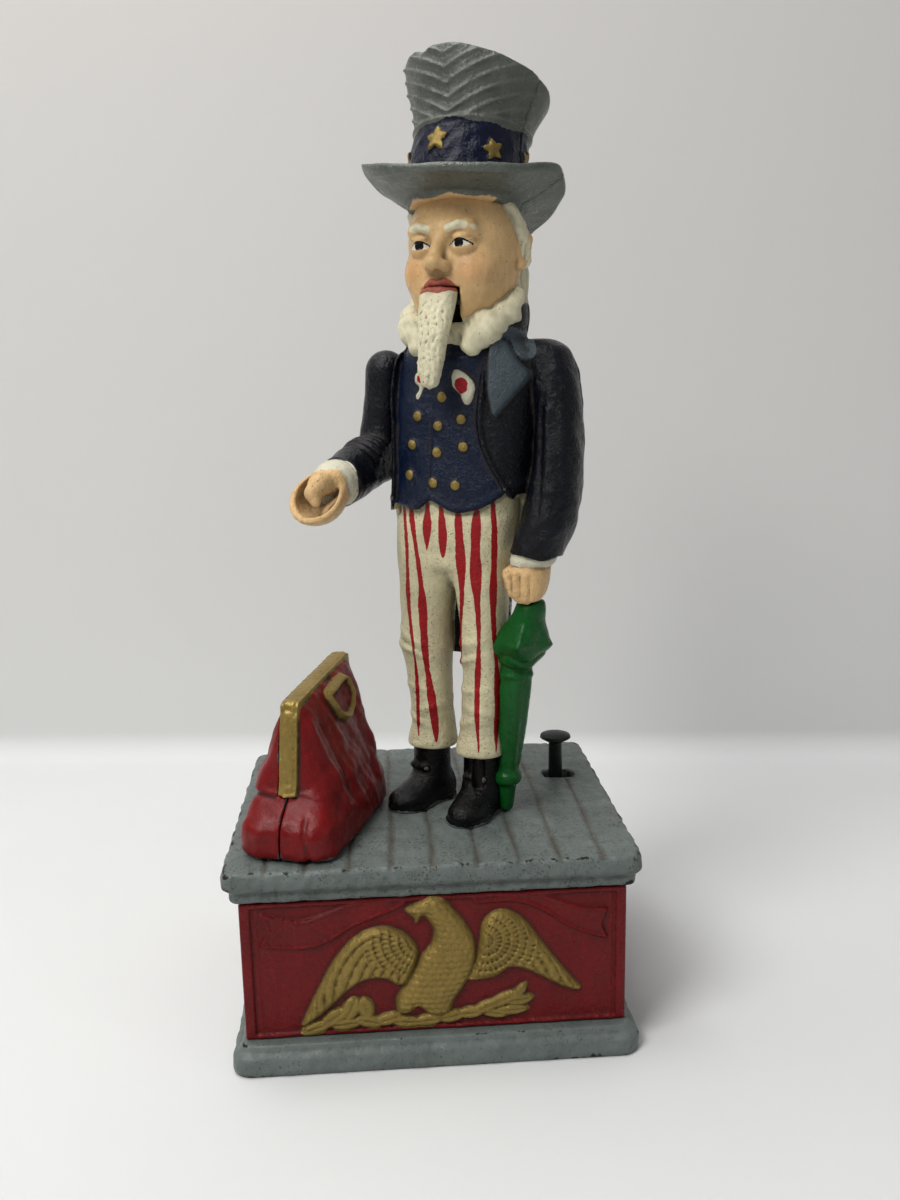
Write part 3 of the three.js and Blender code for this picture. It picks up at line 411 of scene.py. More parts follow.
def mesh_object(name, points, quads, place, attributes):
    """Makes a Blender mesh from clay points in a local frame in mm."""
    world = place.out(points) * MM
    me = bpy.data.meshes.new(name)
    me.vertices.add(len(world))
    me.vertices.foreach_set("co", world.astype(np.float32).ravel())
    me.loops.add(quads.size)
    me.loops.foreach_set("vertex_index", quads.astype(np.int32).ravel())
    me.polygons.add(len(quads))
    me.polygons.foreach_set("loop_start", np.arange(0, quads.size, 4, dtype=np.int32))
    me.polygons.foreach_set("use_smooth", np.ones(len(quads), bool))
    me.update(calc_edges=True)
    for key, value in attributes.items():
        a = me.attributes.new(key, "FLOAT", "POINT")
        a.data.foreach_set("value", np.clip(value, AWAY, -AWAY).astype(np.float32))
    obj = bpy.data.objects.new(name, me)
    bpy.context.scene.collection.objects.link(obj)
    return obj


def cast(name, clay, place, zones, material, body, node):
    """Meshes a clay volume, rides it on a body, and lets it stand for a CAD node.

    There is one attribute per paint zone: positive distances in mm are inside the zone.
    """
    points, quads = clay.surface()
    attributes = {"ridge": ridges(points, quads)}
    for key, f in zones.items():
        attributes[key] = np.broadcast_to(f(*points.T), len(points))
    obj = mesh_object(name, points, quads, place, attributes)
    obj.data.materials.append(material)
    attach(obj, body)
    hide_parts(node)


# ---------------------------------------------------------------- materials

class Net:
    """Short forms for building a material's nodes."""

    def __init__(self, name):
        self.material = bpy.data.materials.new(name)
        self.material.use_nodes = True
        self.tree = self.material.node_tree
        self.tree.nodes.clear()
        coords = self.node("ShaderNodeTexCoord").outputs["Object"]
        scaled = self.node("ShaderNodeVectorMath", operation="SCALE")
        self.put(scaled.inputs[0], coords)
        scaled.inputs["Scale"].default_value = 1 / MM
        self.mm = scaled.outputs[0]

    def node(self, kind, **settings):
        n = self.tree.nodes.new(kind)
        for key, value in settings.items():
            setattr(n, key, value)
        return n

    def put(self, socket, value):
        if isinstance(value, bpy.types.NodeSocket):
            self.tree.links.new(value, socket)
        elif isinstance(value, (tuple, list)) and len(value) == 3 and socket.type == "RGBA":
            socket.default_value = (*value, 1)
        else:
            socket.default_value = value

    def math(self, op, a, b=0.0, c=0.0, clamp=False):
        n = self.node("ShaderNodeMath", operation=op, use_clamp=clamp)
        for socket, value in zip(n.inputs, (a, b, c)):
            self.put(socket, value)
        return n.outputs[0]

    def noise(self, size, detail=3.0, rough=0.55, stretch=None, seed=0.0):
        """Noise in 0..1 with features of about size mm."""
        n = self.node("ShaderNodeTexNoise", noise_dimensions="4D")
        vector = self.mm
        if stretch:
            s = self.node("ShaderNodeVectorMath", operation="MULTIPLY")
            self.put(s.inputs[0], self.mm)
            s.inputs[1].default_value = stretch
            vector = s.outputs[0]
        self.put(n.inputs["Vector"], vector)
        self.put(n.inputs["W"], seed)
        self.put(n.inputs["Scale"], 1.0 / size)
        self.put(n.inputs["Detail"], detail)
        self.put(n.inputs["Roughness"], rough)
        return n.outputs["Fac"]

    def attribute(self, name):
        return self.node("ShaderNodeAttribute", attribute_name=name).outputs["Fac"]

    def ramp(self, value, lo, hi, out_lo=0.0, out_hi=1.0):
        n = self.node("ShaderNodeMapRange", interpolation_type="SMOOTHSTEP")
        for socket, v in zip(n.inputs, (value, lo, hi, out_lo, out_hi)):
            self.put(socket, v)
        return n.outputs[0]

    def blend(self, fac, a, b):
        n = self.node("ShaderNodeMix", data_type="RGBA")
        self.put(n.inputs["Factor"], fac)
        self.put(n.inputs[6], a)
        self.put(n.inputs[7], b)
        return n.outputs[2]

    def blend_value(self, fac, a, b):
        n = self.node("ShaderNodeMix", data_type="FLOAT")
        self.put(n.inputs["Factor"], fac)
        self.put(n.inputs[2], a)
        self.put(n.inputs[3], b)
        return n.outputs[0]

    def bump(self, height, strength, distance):
        n = self.node("ShaderNodeBump")
        self.put(n.inputs["Height"], height)
        self.put(n.inputs["Strength"], strength)
        self.put(n.inputs["Distance"], distance)
        return n.outputs[0]

    def finish(self, colour, rough, metal, normal, coat=0.0):
        shader = self.node("ShaderNodeBsdfPrincipled")
        self.put(shader.inputs["Base Color"], colour)
        self.put(shader.inputs["Roughness"], rough)
        self.put(shader.inputs["Metallic"], metal)
        self.put(shader.inputs["Normal"], normal)
        self.put(shader.inputs["Specular IOR Level"], 0.2)
        self.put(shader.inputs["Coat Weight"], coat)
        self.put(shader.inputs["Coat Roughness"], 0.2)
        out = self.node("ShaderNodeOutputMaterial")
        self.tree.links.new(shader.outputs[0], out.inputs[0])
        return self.material


def srgb(r, g, b):
    return tuple(((v / 255 + 0.055) / 1.055) ** 2.4 if v > 10 else v / 255 / 12.92 for v in (r, g, b))


# name: colour, roughness, metallic
PAINTS = {
    "skin": (srgb(208, 172, 122), 0.32, 0.0),
    "cream": (srgb(214, 207, 176), 0.42, 0.0),
    "trouser": (srgb(204, 195, 160), 0.4, 0.0),
    "stripe": (srgb(146, 14, 22), 0.32, 0.0),
    "coat": (srgb(4, 6, 15), 0.2, 0.0),
    # painted highlight: the lapels get a lighter, glossier paint that stands for the sheen on them
    "lapel_sheen": (srgb(66, 76, 82), 0.18, 0.0),
    "vest": (srgb(6, 20, 44), 0.18, 0.0),
    "gold": (srgb(140, 118, 62), 0.34, 0.5),
    "black": (srgb(3, 3, 4), 0.14, 0.0),
    "hat": (srgb(98, 102, 95), 0.3, 0.35),
    "band": (srgb(6, 14, 38), 0.1, 0.0),
    "white": (srgb(204, 200, 178), 0.4, 0.0),
    "lip": (srgb(158, 84, 68), 0.35, 0.0),
    "green": (srgb(10, 78, 26), 0.2, 0.0),
    "red": (srgb(108, 10, 12), 0.34, 0.0),
    "panel": (srgb(104, 8, 12), 0.24, 0.0),
    "grey": (srgb(102, 110, 107), 0.42, 0.1),
    "mud": (srgb(70, 56, 40), 0.7, 0.0),
    "primer": (srgb(104, 108, 106), 0.5, 0.2),
    "iron": (srgb(46, 42, 38), 0.5, 0.6),
    "eye": (srgb(222, 216, 200), 0.2, 0.0),
    "iris": (srgb(14, 12, 12), 0.15, 0.0),
    "blush": (srgb(190, 116, 78), 0.38, 0.0),
}


# paints that are not chipped
SOUND = {"skin", "gold", "white", "cream", "trouser", "stripe", "lip", "eye", "iris"}


def enamel(name, base, zones=(), under="primer", wear=1.0, grime=1.0, speckle=1.0, grain=1.0, soft=()):
    """Hand-painted enamel over a sand casting.

    zones is a list of (attribute, paint, edge wobble in mm).
    soft is a list of (attribute, paint, strength, fade in mm).
    """
    net = Net(name)
    ridge = net.attribute("ridge")
    hand = net.noise(1.6, 2, seed=1)
    fine = net.noise(0.5, 2, seed=2)
    edge = net.math("ADD", net.math("MULTIPLY", net.math("SUBTRACT", hand, 0.5), 1.0),
                    net.math("MULTIPLY", net.math("SUBTRACT", fine, 0.5), 0.35))
    colour, rough, metal = PAINTS[base]
    colour_now, rough_now, metal_now = colour, rough, metal
    brittle = 0.0 if base in SOUND else 1.0
    for attribute, paint, wob in zones:
        c, r, m = PAINTS[paint]
        value = net.math("MULTIPLY_ADD", edge, wob, net.attribute(attribute))
        fac = net.ramp(value, -0.07, 0.07)
        colour_now = net.blend(fac, colour_now, c)
        rough_now = net.blend_value(fac, rough_now, r)
        metal_now = net.blend_value(fac, metal_now, m)
        brittle = net.blend_value(fac, brittle, 0.0 if paint in SOUND else 1.0)
    for attribute, paint, strength, fade in soft:
        value = net.math("MULTIPLY_ADD", edge, fade * .8, net.attribute(attribute))
        colour_now = net.blend(net.math("MULTIPLY", net.ramp(value, -fade, fade), strength),
                               colour_now, PAINTS[paint][0])
    # thick and thin paint
    cloud = net.noise(9, 4, 0.6, seed=3)
    streak = net.noise(2.2, 3, 0.6, stretch=(1, 1, 0.35), seed=4)
    shade = net.math("ADD", net.ramp(cloud, 0.25, 0.75, 0.82, 1.1), net.ramp(streak, 0.2, 0.8, -0.1, 0.08))
    shaded = net.node("ShaderNodeVectorMath", operation="SCALE")
    net.put(shaded.inputs[0], colour_now)
    net.put(shaded.inputs["Scale"], shade)
    colour_now = shaded.outputs[0]
    # dirt gathered in hollows
    dirt_noise = net.noise(1.3, 3, 0.65, seed=5)
    dirt = net.math("MULTIPLY",
                    net.ramp(net.math("MULTIPLY_ADD", dirt_noise, -0.09, ridge), -0.13, -0.045, 1, 0),
                    0.7 * grime)
    colour_now = net.blend(dirt, colour_now, srgb(38, 32, 26))
    rough_now = net.blend_value(dirt, rough_now, 0.65)
    # fine dark specks of casting sand and dirt
    spots = net.noise(0.75, 2, 0.7, seed=6)
    patch = net.ramp(net.noise(6, 2, seed=7), 0.34, 0.6)
    speck = net.math("MULTIPLY", net.ramp(spots, 0.68 - 0.04 * speckle, 0.75 - 0.04 * speckle),
                     net.math("MULTIPLY", patch, min(0.75, 0.6 * speckle)))
    colour_now = net.blend(speck, colour_now, srgb(48, 40, 32))
    # paint worn off edges
    chip_noise = net.noise(1.1, 4, 0.7, seed=8)
    chip_patch = net.noise(7, 2, seed=9)
    chip = net.math("ADD", net.math("MULTIPLY", ridge, 2.6),
                    net.math("MULTIPLY_ADD", chip_noise, 0.55, net.math("MULTIPLY", chip_patch, 0.5)))
    limit = 1.1 - 0.14 * wear
    worn = net.math("MULTIPLY", net.ramp(chip, limit, limit + 0.03), brittle)
    uc, ur, um = PAINTS[under]
    under_colour = net.blend(net.ramp(chip_noise, 0.45, 0.62), uc, PAINTS["iron"][0])
    colour_now = net.blend(worn, colour_now, under_colour)
    rough_now = net.blend_value(worn, rough_now, ur)
    metal_now = net.blend_value(worn, metal_now, um)
    smear = net.noise(3.5, 4, 0.65, seed=10)
    rough_now = net.math("ADD", rough_now, net.ramp(smear, 0.3, 0.75, -0.08, 0.16), clamp=True)
    # sand-cast grain under the paint, brush marks, and the step at each chip
    sand = net.noise(0.55, 3, 0.6, seed=11)
    lumps = net.noise(2.4, 3, 0.55, seed=12)
    crackle = net.noise(1.3, 4, 0.65, seed=13)
    height = net.math("ADD", net.math("MULTIPLY", sand, 0.5 * grain),
                      net.math("MULTIPLY", lumps, 0.9 * grain))
    height = net.math("ADD", height, net.math("MULTIPLY", crackle, 1.1 * grain))
    height = net.math("SUBTRACT", height, net.math("MULTIPLY", worn, 0.5))
    normal = net.bump(height, 0.55, 0.00035)
    return net.finish(colour_now, rough_now, metal_now, normal, 0.04)


def metal(name, colour, rough, rust, metallic=0.9):
    """Bare or oiled iron and steel, with turning marks, dark patches and a little rust."""
    net = Net(name)
    cloud = net.noise(4, 4, 0.65, seed=1)
    fine = net.noise(0.5, 3, 0.6, seed=2)
    scratch = net.noise(0.35, 2, 0.5, stretch=(1, 1, 0.08), seed=3)
    colour_now = net.blend(net.ramp(cloud, 0.3, 0.7), tuple(v * 0.6 for v in colour), colour)
    stain = net.math("MULTIPLY", net.ramp(net.noise(2.2, 5, 0.7, seed=4), 0.55, 0.72), rust)
    colour_now = net.blend(stain, colour_now, srgb(96, 62, 40))
    rough_now = net.math("ADD", net.math("MULTIPLY", stain, 0.3),
                         net.ramp(fine, 0.2, 0.8, rough - 0.08, rough + 0.12))
    metal_now = net.math("SUBTRACT", metallic, net.math("MULTIPLY", stain, 0.6), clamp=True)
    height = net.math("ADD", fine, net.math("MULTIPLY", scratch, 0.5))
    return net.finish(colour_now, rough_now, metal_now, net.bump(height, 0.4, 0.0002))


# ---------------------------------------------------------------- frames

class Place:
    """A frame in mm: a point p of the local frame is at spin @ p + at in the world."""

    def __init__(self, at, parent=None, **angles):
        spin, at = turn(**angles), np.array(at, float)
        self.spin = parent.spin @ spin if parent else spin
        self.at = parent.spin @ at + parent.at if parent else at

    def out(self, points):
        return points @ self.spin.T + self.at


FIGURE = Place(FIGURE_AT, yaw=FIGURE_YAW)
HEAD = Place(HEAD_AT, FIGURE, yaw=HEAD_YAW)
HAT = Place((0, 1.2, 186.5), HEAD, tilt=-9.5)
BAG = Place(BAG_AT, yaw=BAG_YAW)
WORLD = Place((0, 0, 0))


def split_distance(place):
    """How far behind the casting seam a point of this frame is, in mm."""
    row = (np.linalg.inv(FIGURE.spin) @ place.spin)[1]
    shift = (np.linalg.inv(FIGURE.spin) @ (place.at - FIGURE.at))[1]
    return lambda x, y, z: row[0] * x + row[1] * y + row[2] * z + shift - SPLIT_Y


def line_of(rows):
    """A smooth function through rows of [t, value]."""
    t, v = curve_table(rows, 200)
    return lambda s: np.interp(s, t, v)


def tube_cut(x0, x1, y, z, r):
    return drum((x0, y, z), (x1, y, z), r)


# ---------------------------------------------------------------- the figure's body

COAT = 1.15  # how far the coat stands out from the waistcoat
coat_left = line_of([[94, 24.5], [98, 22], [102, 20], [105.8, 18], [110.6, 15.4], [115.4, 13.2], [122, 11.8],
                     [129.7, 12.1], [136.4, 12.8], [143, 13.6], [156, 11]])
coat_right = line_of([[94, -17.8], [100, -16.6], [120, -16.2], [146, -14.8], [156, -12]])
vest_hem = line_of([[-26, 101], [-19, 99.4], [-14.5, 98.4], [-11, 97.6],
                    [-7.4, 97.5], [-3.2, 100.3], [.4, 98.4],
                    [4.5, 96.8], [9, 97.2], [14, 98.8], [17, 100.6], [20.5, 103.2], [27, 104]])

torso = loft([[78, .6, 1.6, 17.0, 11.2], [88, 1.2, 1.8, 18.4, 12.0], [95, 2.2, 2, 20.4, 12.6],
              [101, 3.0, 2.2, 21.4, 12.9], [113, 3.6, 2.6, 21.6, 12.6], [122, 4.0, 2.9, 22.0, 12.4],
              [130, 4.4, 3.1, 22.0, 12.3], [137, 5.0, 3.5, 21.6, 11.8], [142.5, 5.2, 3.8, 20.4, 10.6],
              [147, 4.6, 4, 15.6, 9.6], [151, 4.2, 4.4, 11, 9]], n=2.35, cap=2)
left_leg = loft([[19.5, 9.3, -2.4, 8.0, 8.1], [22, 9.3, -2.4, 7.8, 7.9],
                 [27, 9.6, -2.4, 6.6, 7.4], [36, 10.2, -2.2, 6.7, 7.4],
                 [46, 10.6, -1.9, 6.6, 7.3], [55, 10.4, -1.6, 7.0, 8.2],
                 [64, 10.2, -.6, 7.4, 8.8], [74, 9.6, .2, 8.5, 9.8],
                 [84, 8.6, 1.4, 9.8, 10.8], [94, 8.0, 2, 11.4, 11.2]], n=2.2, cap=1.2)
right_leg = loft([[19.5, -8.6, 1.9, 8.1, 8.1], [22, -8.6, 1.9, 7.9, 7.9],
                  [27, -8.4, 1.9, 6.9, 7.5], [38, -8.9, 1.9, 6.9, 7.5],
                  [46, -9.3, 1.9, 7.4, 7.8], [53, -9.9, 1.6, 8.3, 8.6],
                  [60, -9.8, 1.6, 8.0, 8.6], [72, -9.0, 1.9, 8.8, 9.8],
                  [84, -8.0, 1.9, 10.4, 10.9], [94, -6.6, 2, 11.2, 11]], n=2.2, cap=1.2)
waist = union(loft([[80, 1.2, 1.6, 15.4, 10.4], [90, 1.8, 1.9, 17.8, 11.3],
                    [97, 2.4, 2.1, 19.0, 11.6], [107, 3.0, 2.3, 19.4, 11.4]],
                   n=2.3, cap=2), egg((.4, 1.4, 84), (8, 9.6, 11)), k=4)
tails = loft([[50, .2, 6.4, 14.6, 6.2], [60, .2, 5.9, 14.9, 7.2], [74, .4, 4.6, 16.2, 9.6],
              [88, .9, 2.6, 17.8, 12.2], [100, 1.7, 2.3, 19.4, 13.4]], n=2.6, cap=1)
sleeve = loft([[80.5, 27.0, -3.6, 7.5, 7.6], [84, 28.0, -3.2, 7.9, 8.4], [88, 29.4, -2.8, 8.2, 9.0],
               [94, 31.3, -2, 8.3, 9.6], [101, 32.7, -.6, 7.9, 9.9],
               [110, 33.6, 1, 7.3, 9.8], [118, 33.7, 2.1, 7.0, 9.6],
               [126, 33.2, 3, 6.9, 9.2], [134, 32.3, 3.7, 7.0, 8.8],
               [140, 30.6, 4.2, 7.2, 8.2], [144.5, 28.6, 4.4, 6.6, 7.2],
               [147, 26.6, 4.6, 5.2, 5.6]], n=2.3, cap=2.5)
cuff = loft([[80.6, 26.9, -3.9, 5.9, 6.1], [81.6, 27.0, -3.9, 6.6, 6.8], [84.6, 27.7, -3.6, 6.8, 7.0],
             [89, 28.5, -3.2, 6.4, 6.6]], n=2.2, cap=1)
fist = union(
    loft([[70.4, 26.3, -4.9, 3.6, 4.2], [72.4, 26.0, -4.7, 5.0, 5.4],
          [76.6, 25.9, -4.4, 6.2, 6.4], [81.0, 26.3, -4.0, 6.0, 6.2],
          [83.4, 26.8, -3.9, 5.4, 5.6]], n=2.3, cap=1.5),
    rod((20.8, -7.8, 78.4), (22.6, -8.8, 72.4), 2.2, 1.8),
    rod((23.8, -9.4, 78.4), (25.0, -9.5, 71.4), 2.15, 1.8),
    rod((26.9, -9.3, 78.2), (27.3, -9.1, 71.4), 2.1, 1.7),
    rod((29.6, -8.0, 77.8), (29.2, -7.6, 72.4), 2.0, 1.6),
    rod((21.6, -2.4, 79.6), (20.6, -6.0, 74.6), 2.3, 1.9), k=1.3)


def shoe(x, y, yaw):
    """A shoe with its toe to the front, sole on the platform."""
    body = union(
        egg((.3, -10.8, 2.9), (6.0, 7.6, 4.3)),
        rod((0, -9.5, 3.4), (0, -2.6, 6.4), 4.0, 5.4),
        rod((0, -.4, 9), (0, -.2, 22), 6.2, 5.9),
        egg((0, 1.8, 4.4), (5.6, 6.2, 6.4)),
        rod((0, -6, 3.5), (0, 2, 4), 5.5, 5.4), k=2.6)
    bow = union(egg((-2.2, -6.0, 12.4), (2.3, 1.1, 1.2)), egg((2.2, -6.0, 12.4), (2.3, 1.1, 1.2)),
                egg((0, -6.4, 12.2), (.9, 1.0, 1.0)), k=.5)
    sole = union(egg((0, -9.9, .8), (6.9, 8.3, 3.2)), egg((0, 2.4, .8), (6.0, 5.9, 3.2)),
                 block((-5.3, -9, -1), (5.3, 3, 1.6), .6), k=2.0)
    sole = both(sole, block((-9, -20, -1), (9, 12, 1.55), .3), k=.5)
    return union(body, bow, k=.6).at((x, y, 0), yaw=yaw), sole.at((x, y, 0), yaw=yaw)


left_shoe, left_sole = shoe(9.6, -1.6, 10)
right_shoe, right_sole = shoe(-9.3, 3.0, 26)
shoes = union(left_shoe, right_shoe)
soles = union(left_sole, right_sole)


def collar_height(x, y, z):
    """Top edge of the standing collar: low over the waistcoat, higher round the neck."""
    rise = 13 * np.clip((y - .1 * np.abs(x - 4) + 12) / 9.5, 0, 1)
    return 139.8 + rise + .8 * step01(4, 14, y) + 4.6 * step01(5, 14, x) * step01(-9, -1, y)


collar_ring = loft([[135, 4.2, 3.4, 19.5, 12.4], [141, 4.2, 3.4, 18.6, 13.8], [146, 4.2, 3.8, 18.0, 13.6],
                    [150, 4.6, 4.0, 18.6, 14.2], [155, 4.8, 4.4, 18.8, 14.0],
                    [160, 4.6, 4.8, 18.0, 13.4]], n=2.1, cap=.8)
lapel = outline([(15.8, 147.5), (19.6, 146.6), (21.6, 143.4),
                 (23.6, 140.4), (26.6, 136.6), (23.2, 131.6), (20.2, 127.8),
                 (17.0, 124.6), (15.6, 128.8), (15.0, 133.2), (15.0, 138), (15.2, 143)], 4)
collar_leaf = outline([(14.5, 152), (15.6, 147.2), (19.4, 146.8), (22.0, 143.0), (24.4, 140.6), (28.0, 142.4),
                       (26.5, 146.5), (20, 151)], 4)
right_lapel = outline([(-12.6, 147), (-15.6, 142), (-16.6, 134), (-16.6, 124), (-18.4, 130.5), (-20.6, 137.2),
                       (-18.6, 142.8)], 4)
cravat_left = outline([(4.3, 136.2), (5.4, 138.4), (8.2, 137.4),
                       (10.9, 134.2), (10.5, 130.4), (9.2, 128.4), (7.8, 129.2),
                       (6.6, 131.6), (4.6, 133.4)], 4)
cravat_right = outline([(-7.8, 137.4), (-5.6, 138.0), (-3.8, 136.4),
                        (-3.9, 134.6), (-5.4, 133.2), (-7.0, 130.2),
                        (-7.8, 131.0), (-6.6, 133.4), (-8.2, 135.2)], 4)
BUTTONS = [(.9, 130.7), (-7.2, 125.2), (-.4, 122.3), (6.9, 124.2), (-9.3, 116.8), (-.8, 114.6), (7.6, 116.2),
           (-10.4, 107.7), (-2.1, 105.6), (5.2, 104.9)]


def vest_zone(x, y, z):
    """Positive distance in the opening of the coat."""
    return np.minimum(np.minimum(x - coat_right(z), coat_left(z) - x), (1.5 - y) * .7)


def hem_height(x, y, z):
    """Lower edge of the clothes: the waistcoat's hem in front, the coat tails' ends behind."""
    back = step01(0, 9, y)
    return vest_hem(x) * (1 - back) + 49.6 * back


def vest_buttons(x, y, z, r=1.35):
    d = np.full(np.broadcast(x, y, z).shape, 9.0)
    for bx, bz in BUTTONS:
        d = np.minimum(d, np.hypot(x - bx, z - bz) - r)
    return np.where(y < 2, d, 9.0)


def stripes(x, y, z):
    """Positive inside the hand-painted stripes down the trousers."""
    p = .94 * x + .35 * y
    out = np.full(np.broadcast(x, y, z).shape, AWAY)
    rows = [  # place at the waist and at the hem, half width at the top and further down, lowest point, seed
        (-15.0, -11.6, .6, .5, 22, 1), (-12.2, -6.6, .7, 1.15, 22, 2), (-7.6, -7.2, 1.05, 1.0, 85, 3),
        (-3.5, -2.4, 1.15, 1.0, 82.5, 4), (2.2, 2.0, 1.3, .5, 47, 5),
            (7.2, 6.9, 1.7, .75, 21, 6), (12.1, 12.8, 1.1, .8, 21, 7),
    ]
    for top, bottom, wide, narrow, lowest, seed in rows:
        t = np.clip((98 - z) / 76, 0, 1)
        centre = top + (bottom - top) * t + .4 * np.sin(z / 7.5 + seed * 2.1)
        width = (wide + (narrow - wide)
                 * step01(.12, .5, t)) * (1 + .22 * np.sin(z / 5.3 + seed) + .1 * np.sin(z / 2.3 + 2 * seed))
        width = width * np.clip((z - lowest) / 7, 0, 1) ** .5 * (.6 + .4 * step01(99, 93, z))
        back = -3.5 if abs(bottom) < 4 else 6.5  # the stripes by the gap stay off the insides of the legs
        out = np.maximum(out, np.where(y < back, width - np.abs(p - centre), AWAY))
    return out


def make_body():
    """The whole figure under the head, still one piece."""
    clay = Clay((-25, -23, -.4), (47, 23, 162.5), STEP)
    clay.add(waist).add(left_leg, 3).add(right_leg, 3)
    # trouser creases behind the knees and over the shoes

    def creases(x, y, z):
        h = 0
        for cx, cz, slope, top, seed in [(6, 30, .25, .6, 1),
                                         (12, 34, -.2, .5, 2), (7, 41, .2, .5, 3), (-12, 30, -.3, .7, 4),
                                         (-7, 34, .2, .5, 5),
                                         (-12, 40, -.25, .6, 6), (6, 50, .3, .9, 7), (-13, 52, -.3, 1.0, 8),
                                         (7, 56, .3, .6, 9), (-13, 57, -.35, .7, 10)]:
            along = z - cz - slope * (x - cx) - .7 * np.sin((x - cx) / 4 + seed)
            h = h + top * np.exp(-(along / 1.2) ** 2) * np.exp(-((x - cx) / 5.5) ** 2)
        return h + .2 * wobble(x, y, z, 15, 3)
    clay.raise_by(creases, (-20, -14, 21), (22, 16, 86))
    clay.add(shoes, .5).add(soles, .3)
    clay.cut(drum((10, -7.4, 8.2), (10, -7.4, 20), 1.9), .3)  # the rivet shows at the bottom of this well
    clay.cut(block((-30, -30, -2), (50, 40, 0)), 0)
    # torso, cut off along the hem
    clothes = clay.sub((-25, -21, 44), (35, 23, 162))
    clothes.add(torso)
    clothes.add(both(tails, block((-30, -1, 49), (30, 30, 104))), 1.2)
    clothes.keep(lambda x, y, z: (z - hem_height(x, y, z)) * .62)

    def coat_layer(x, y, z):
        v = vest_zone(x, y, z)
        coat = COAT * step01(.35, -.35, v)
        roll = .75 * np.exp(-((v + 1.15) / .85) ** 2) * (y < 3)  # stitched edge of the coat front
        low = .5 * np.exp(-((z - hem_height(x, y, z) - 1.1) / .9) ** 2)
        return coat + roll + low
    clothes.raise_by(coat_layer, (-25, -21, 44), (33, 23, 151))
    clothes.add(both(collar_ring,
                     Shape(lambda x, y, z: (z - collar_height(x, y, z)) * .8, (-40, -30, 130), (40, 30, 163)),
                     .6), 1.6)
    clothes.keep(lambda x, y,
                 z: np.where(np.hypot(y - SHOULDER_Y, z - SHOULDER_Z) < 12.5, x + 17.3, x + 19.2))

    def details(x, y, z):
        front = step01(4.2, 3.2, y)
        h = 1.6 * step01(-.2, .6, inside(lapel, x, z)) + .95 * step01(-.1, .45, inside(collar_leaf, x, z))
        h = h - .45 * np.exp(-((inside(lapel, x, z)) / .5) ** 2)
        h = h + .7 * step01(-.1, .45, inside(right_lapel, x, z))
        h = h * front
        b = vest_buttons(x, y, z, 1.5)
        h = h + np.where(b < 1, .95 * np.sqrt(np.clip(1 - (np.maximum(b + 1.5, 0) / 1.7) ** 2, 0, 1)), 0)
        v = vest_zone(x, y, z)
        h = h - .4 * np.exp(-((x + 3.4 - .05 * (z - 110))
                              / .5) ** 2) * step01(99, 101, z) * step01(134, 129, z) * (y < 0)
        h = h + dome(inside(cravat_left, x, z), 1.6,
                     1.2) * (y < 0) + dome(inside(cravat_right, x, z), 1.4, 1.1) * (y < 0)
        # soft pulls in the waistcoat
        h = h + .14 * np.sin((z + .35 * x) / 2.1
                             + 1.2 * np.sin(x / 5)) * (v > 1) * step01(100, 104, z) * (y < 0)
        return h
    clothes.raise_by(details, (-22, -21, 94), (32, 6, 153))

    def back_details(x, y, z):
        """Centre seam, waist seam with two buttons, and the slit between the coat tails."""
        back = step01(8, 10, y)
        h = -.5 * np.exp(-((x - .8) / .45) ** 2) * (z > 92)
        h = h - .45 * np.exp(-((z - 97) / .45) ** 2) * (np.abs(x - 1) < 17)
        h = h + .5 * np.sin((x - 1) / 1.9) * step01(92, 60, z) * step01(0, 8, np.abs(x - .6))
        for bx in (-4.4, 6.4):
            h = h + dome(1.7 - np.hypot(x - bx, z - 99.8), 1.5, .9)
        return h * back
    clothes.raise_by(back_details, (-20, 7, 44), (22, 23, 146))
    clothes.cut(block((-.1, 8, 44), (1.3, 30, 93)), .3)
    clay.merge(clothes)
    # left arm
    arm = clay.sub((10, -23, 60), (47, 23, 157))
    arm.add(sleeve)

    def folds(x, y, z):
        h = -.6 * np.exp(-((x - 30.2 - .06 * (z - 110) + .8 * np.sin(z / 9))
                           / .8) ** 2) * step01(92, 99, z) * step01(134, 122, z) * (y < 2)
        h = h + .45 * np.exp(-((x - 33 + .5 * np.sin(z / 6)) / 1.6) ** 2) * (y < 2) * step01(90, 98, z)
        for cz, slope, top in [(89, .7, .4), (95, .6, .45), (103, -.4, .35), (126, -.5, .3), (131, -.5, .3)]:
            along = z - cz - slope * (x - 33) + .5 * np.sin(x / 3)
            h = h + top * np.exp(-(along / 1.6) ** 2) * np.exp(-((x - 34) / 6) ** 2)
        return h + .3 * wobble(x, y, z, 13, 5) + .1 * wobble(x, y, z, 5, 6)
    arm.raise_by(folds, (14, -16, 84), (46, 16, 145))
    arm.keep(lambda x, y, z: (z - 83.8 - .5 * np.sin(x / 2.2 + y / 3) + .06 * (x - 27)) * .9)
    arm.add(cuff, .2)
    arm.add(fist, .3)

    def knuckle_gaps(x, y, z):
        gap = np.exp(-((((x - 22.0) / 2.9 + .5) % 1 - .5) / .16) ** 2) * (np.abs(x - 25.4) < 4.6)
        return -.7 * gap * (y < -6) * step01(69, 71, z) * step01(79.6, 78, z)
    arm.raise_by(knuckle_gaps, (18, -16, 68), (33, -5, 81))
    clay.merge(arm, 1.0)
    for cut in mechanism:
        clay.cut(cut)
    return clay


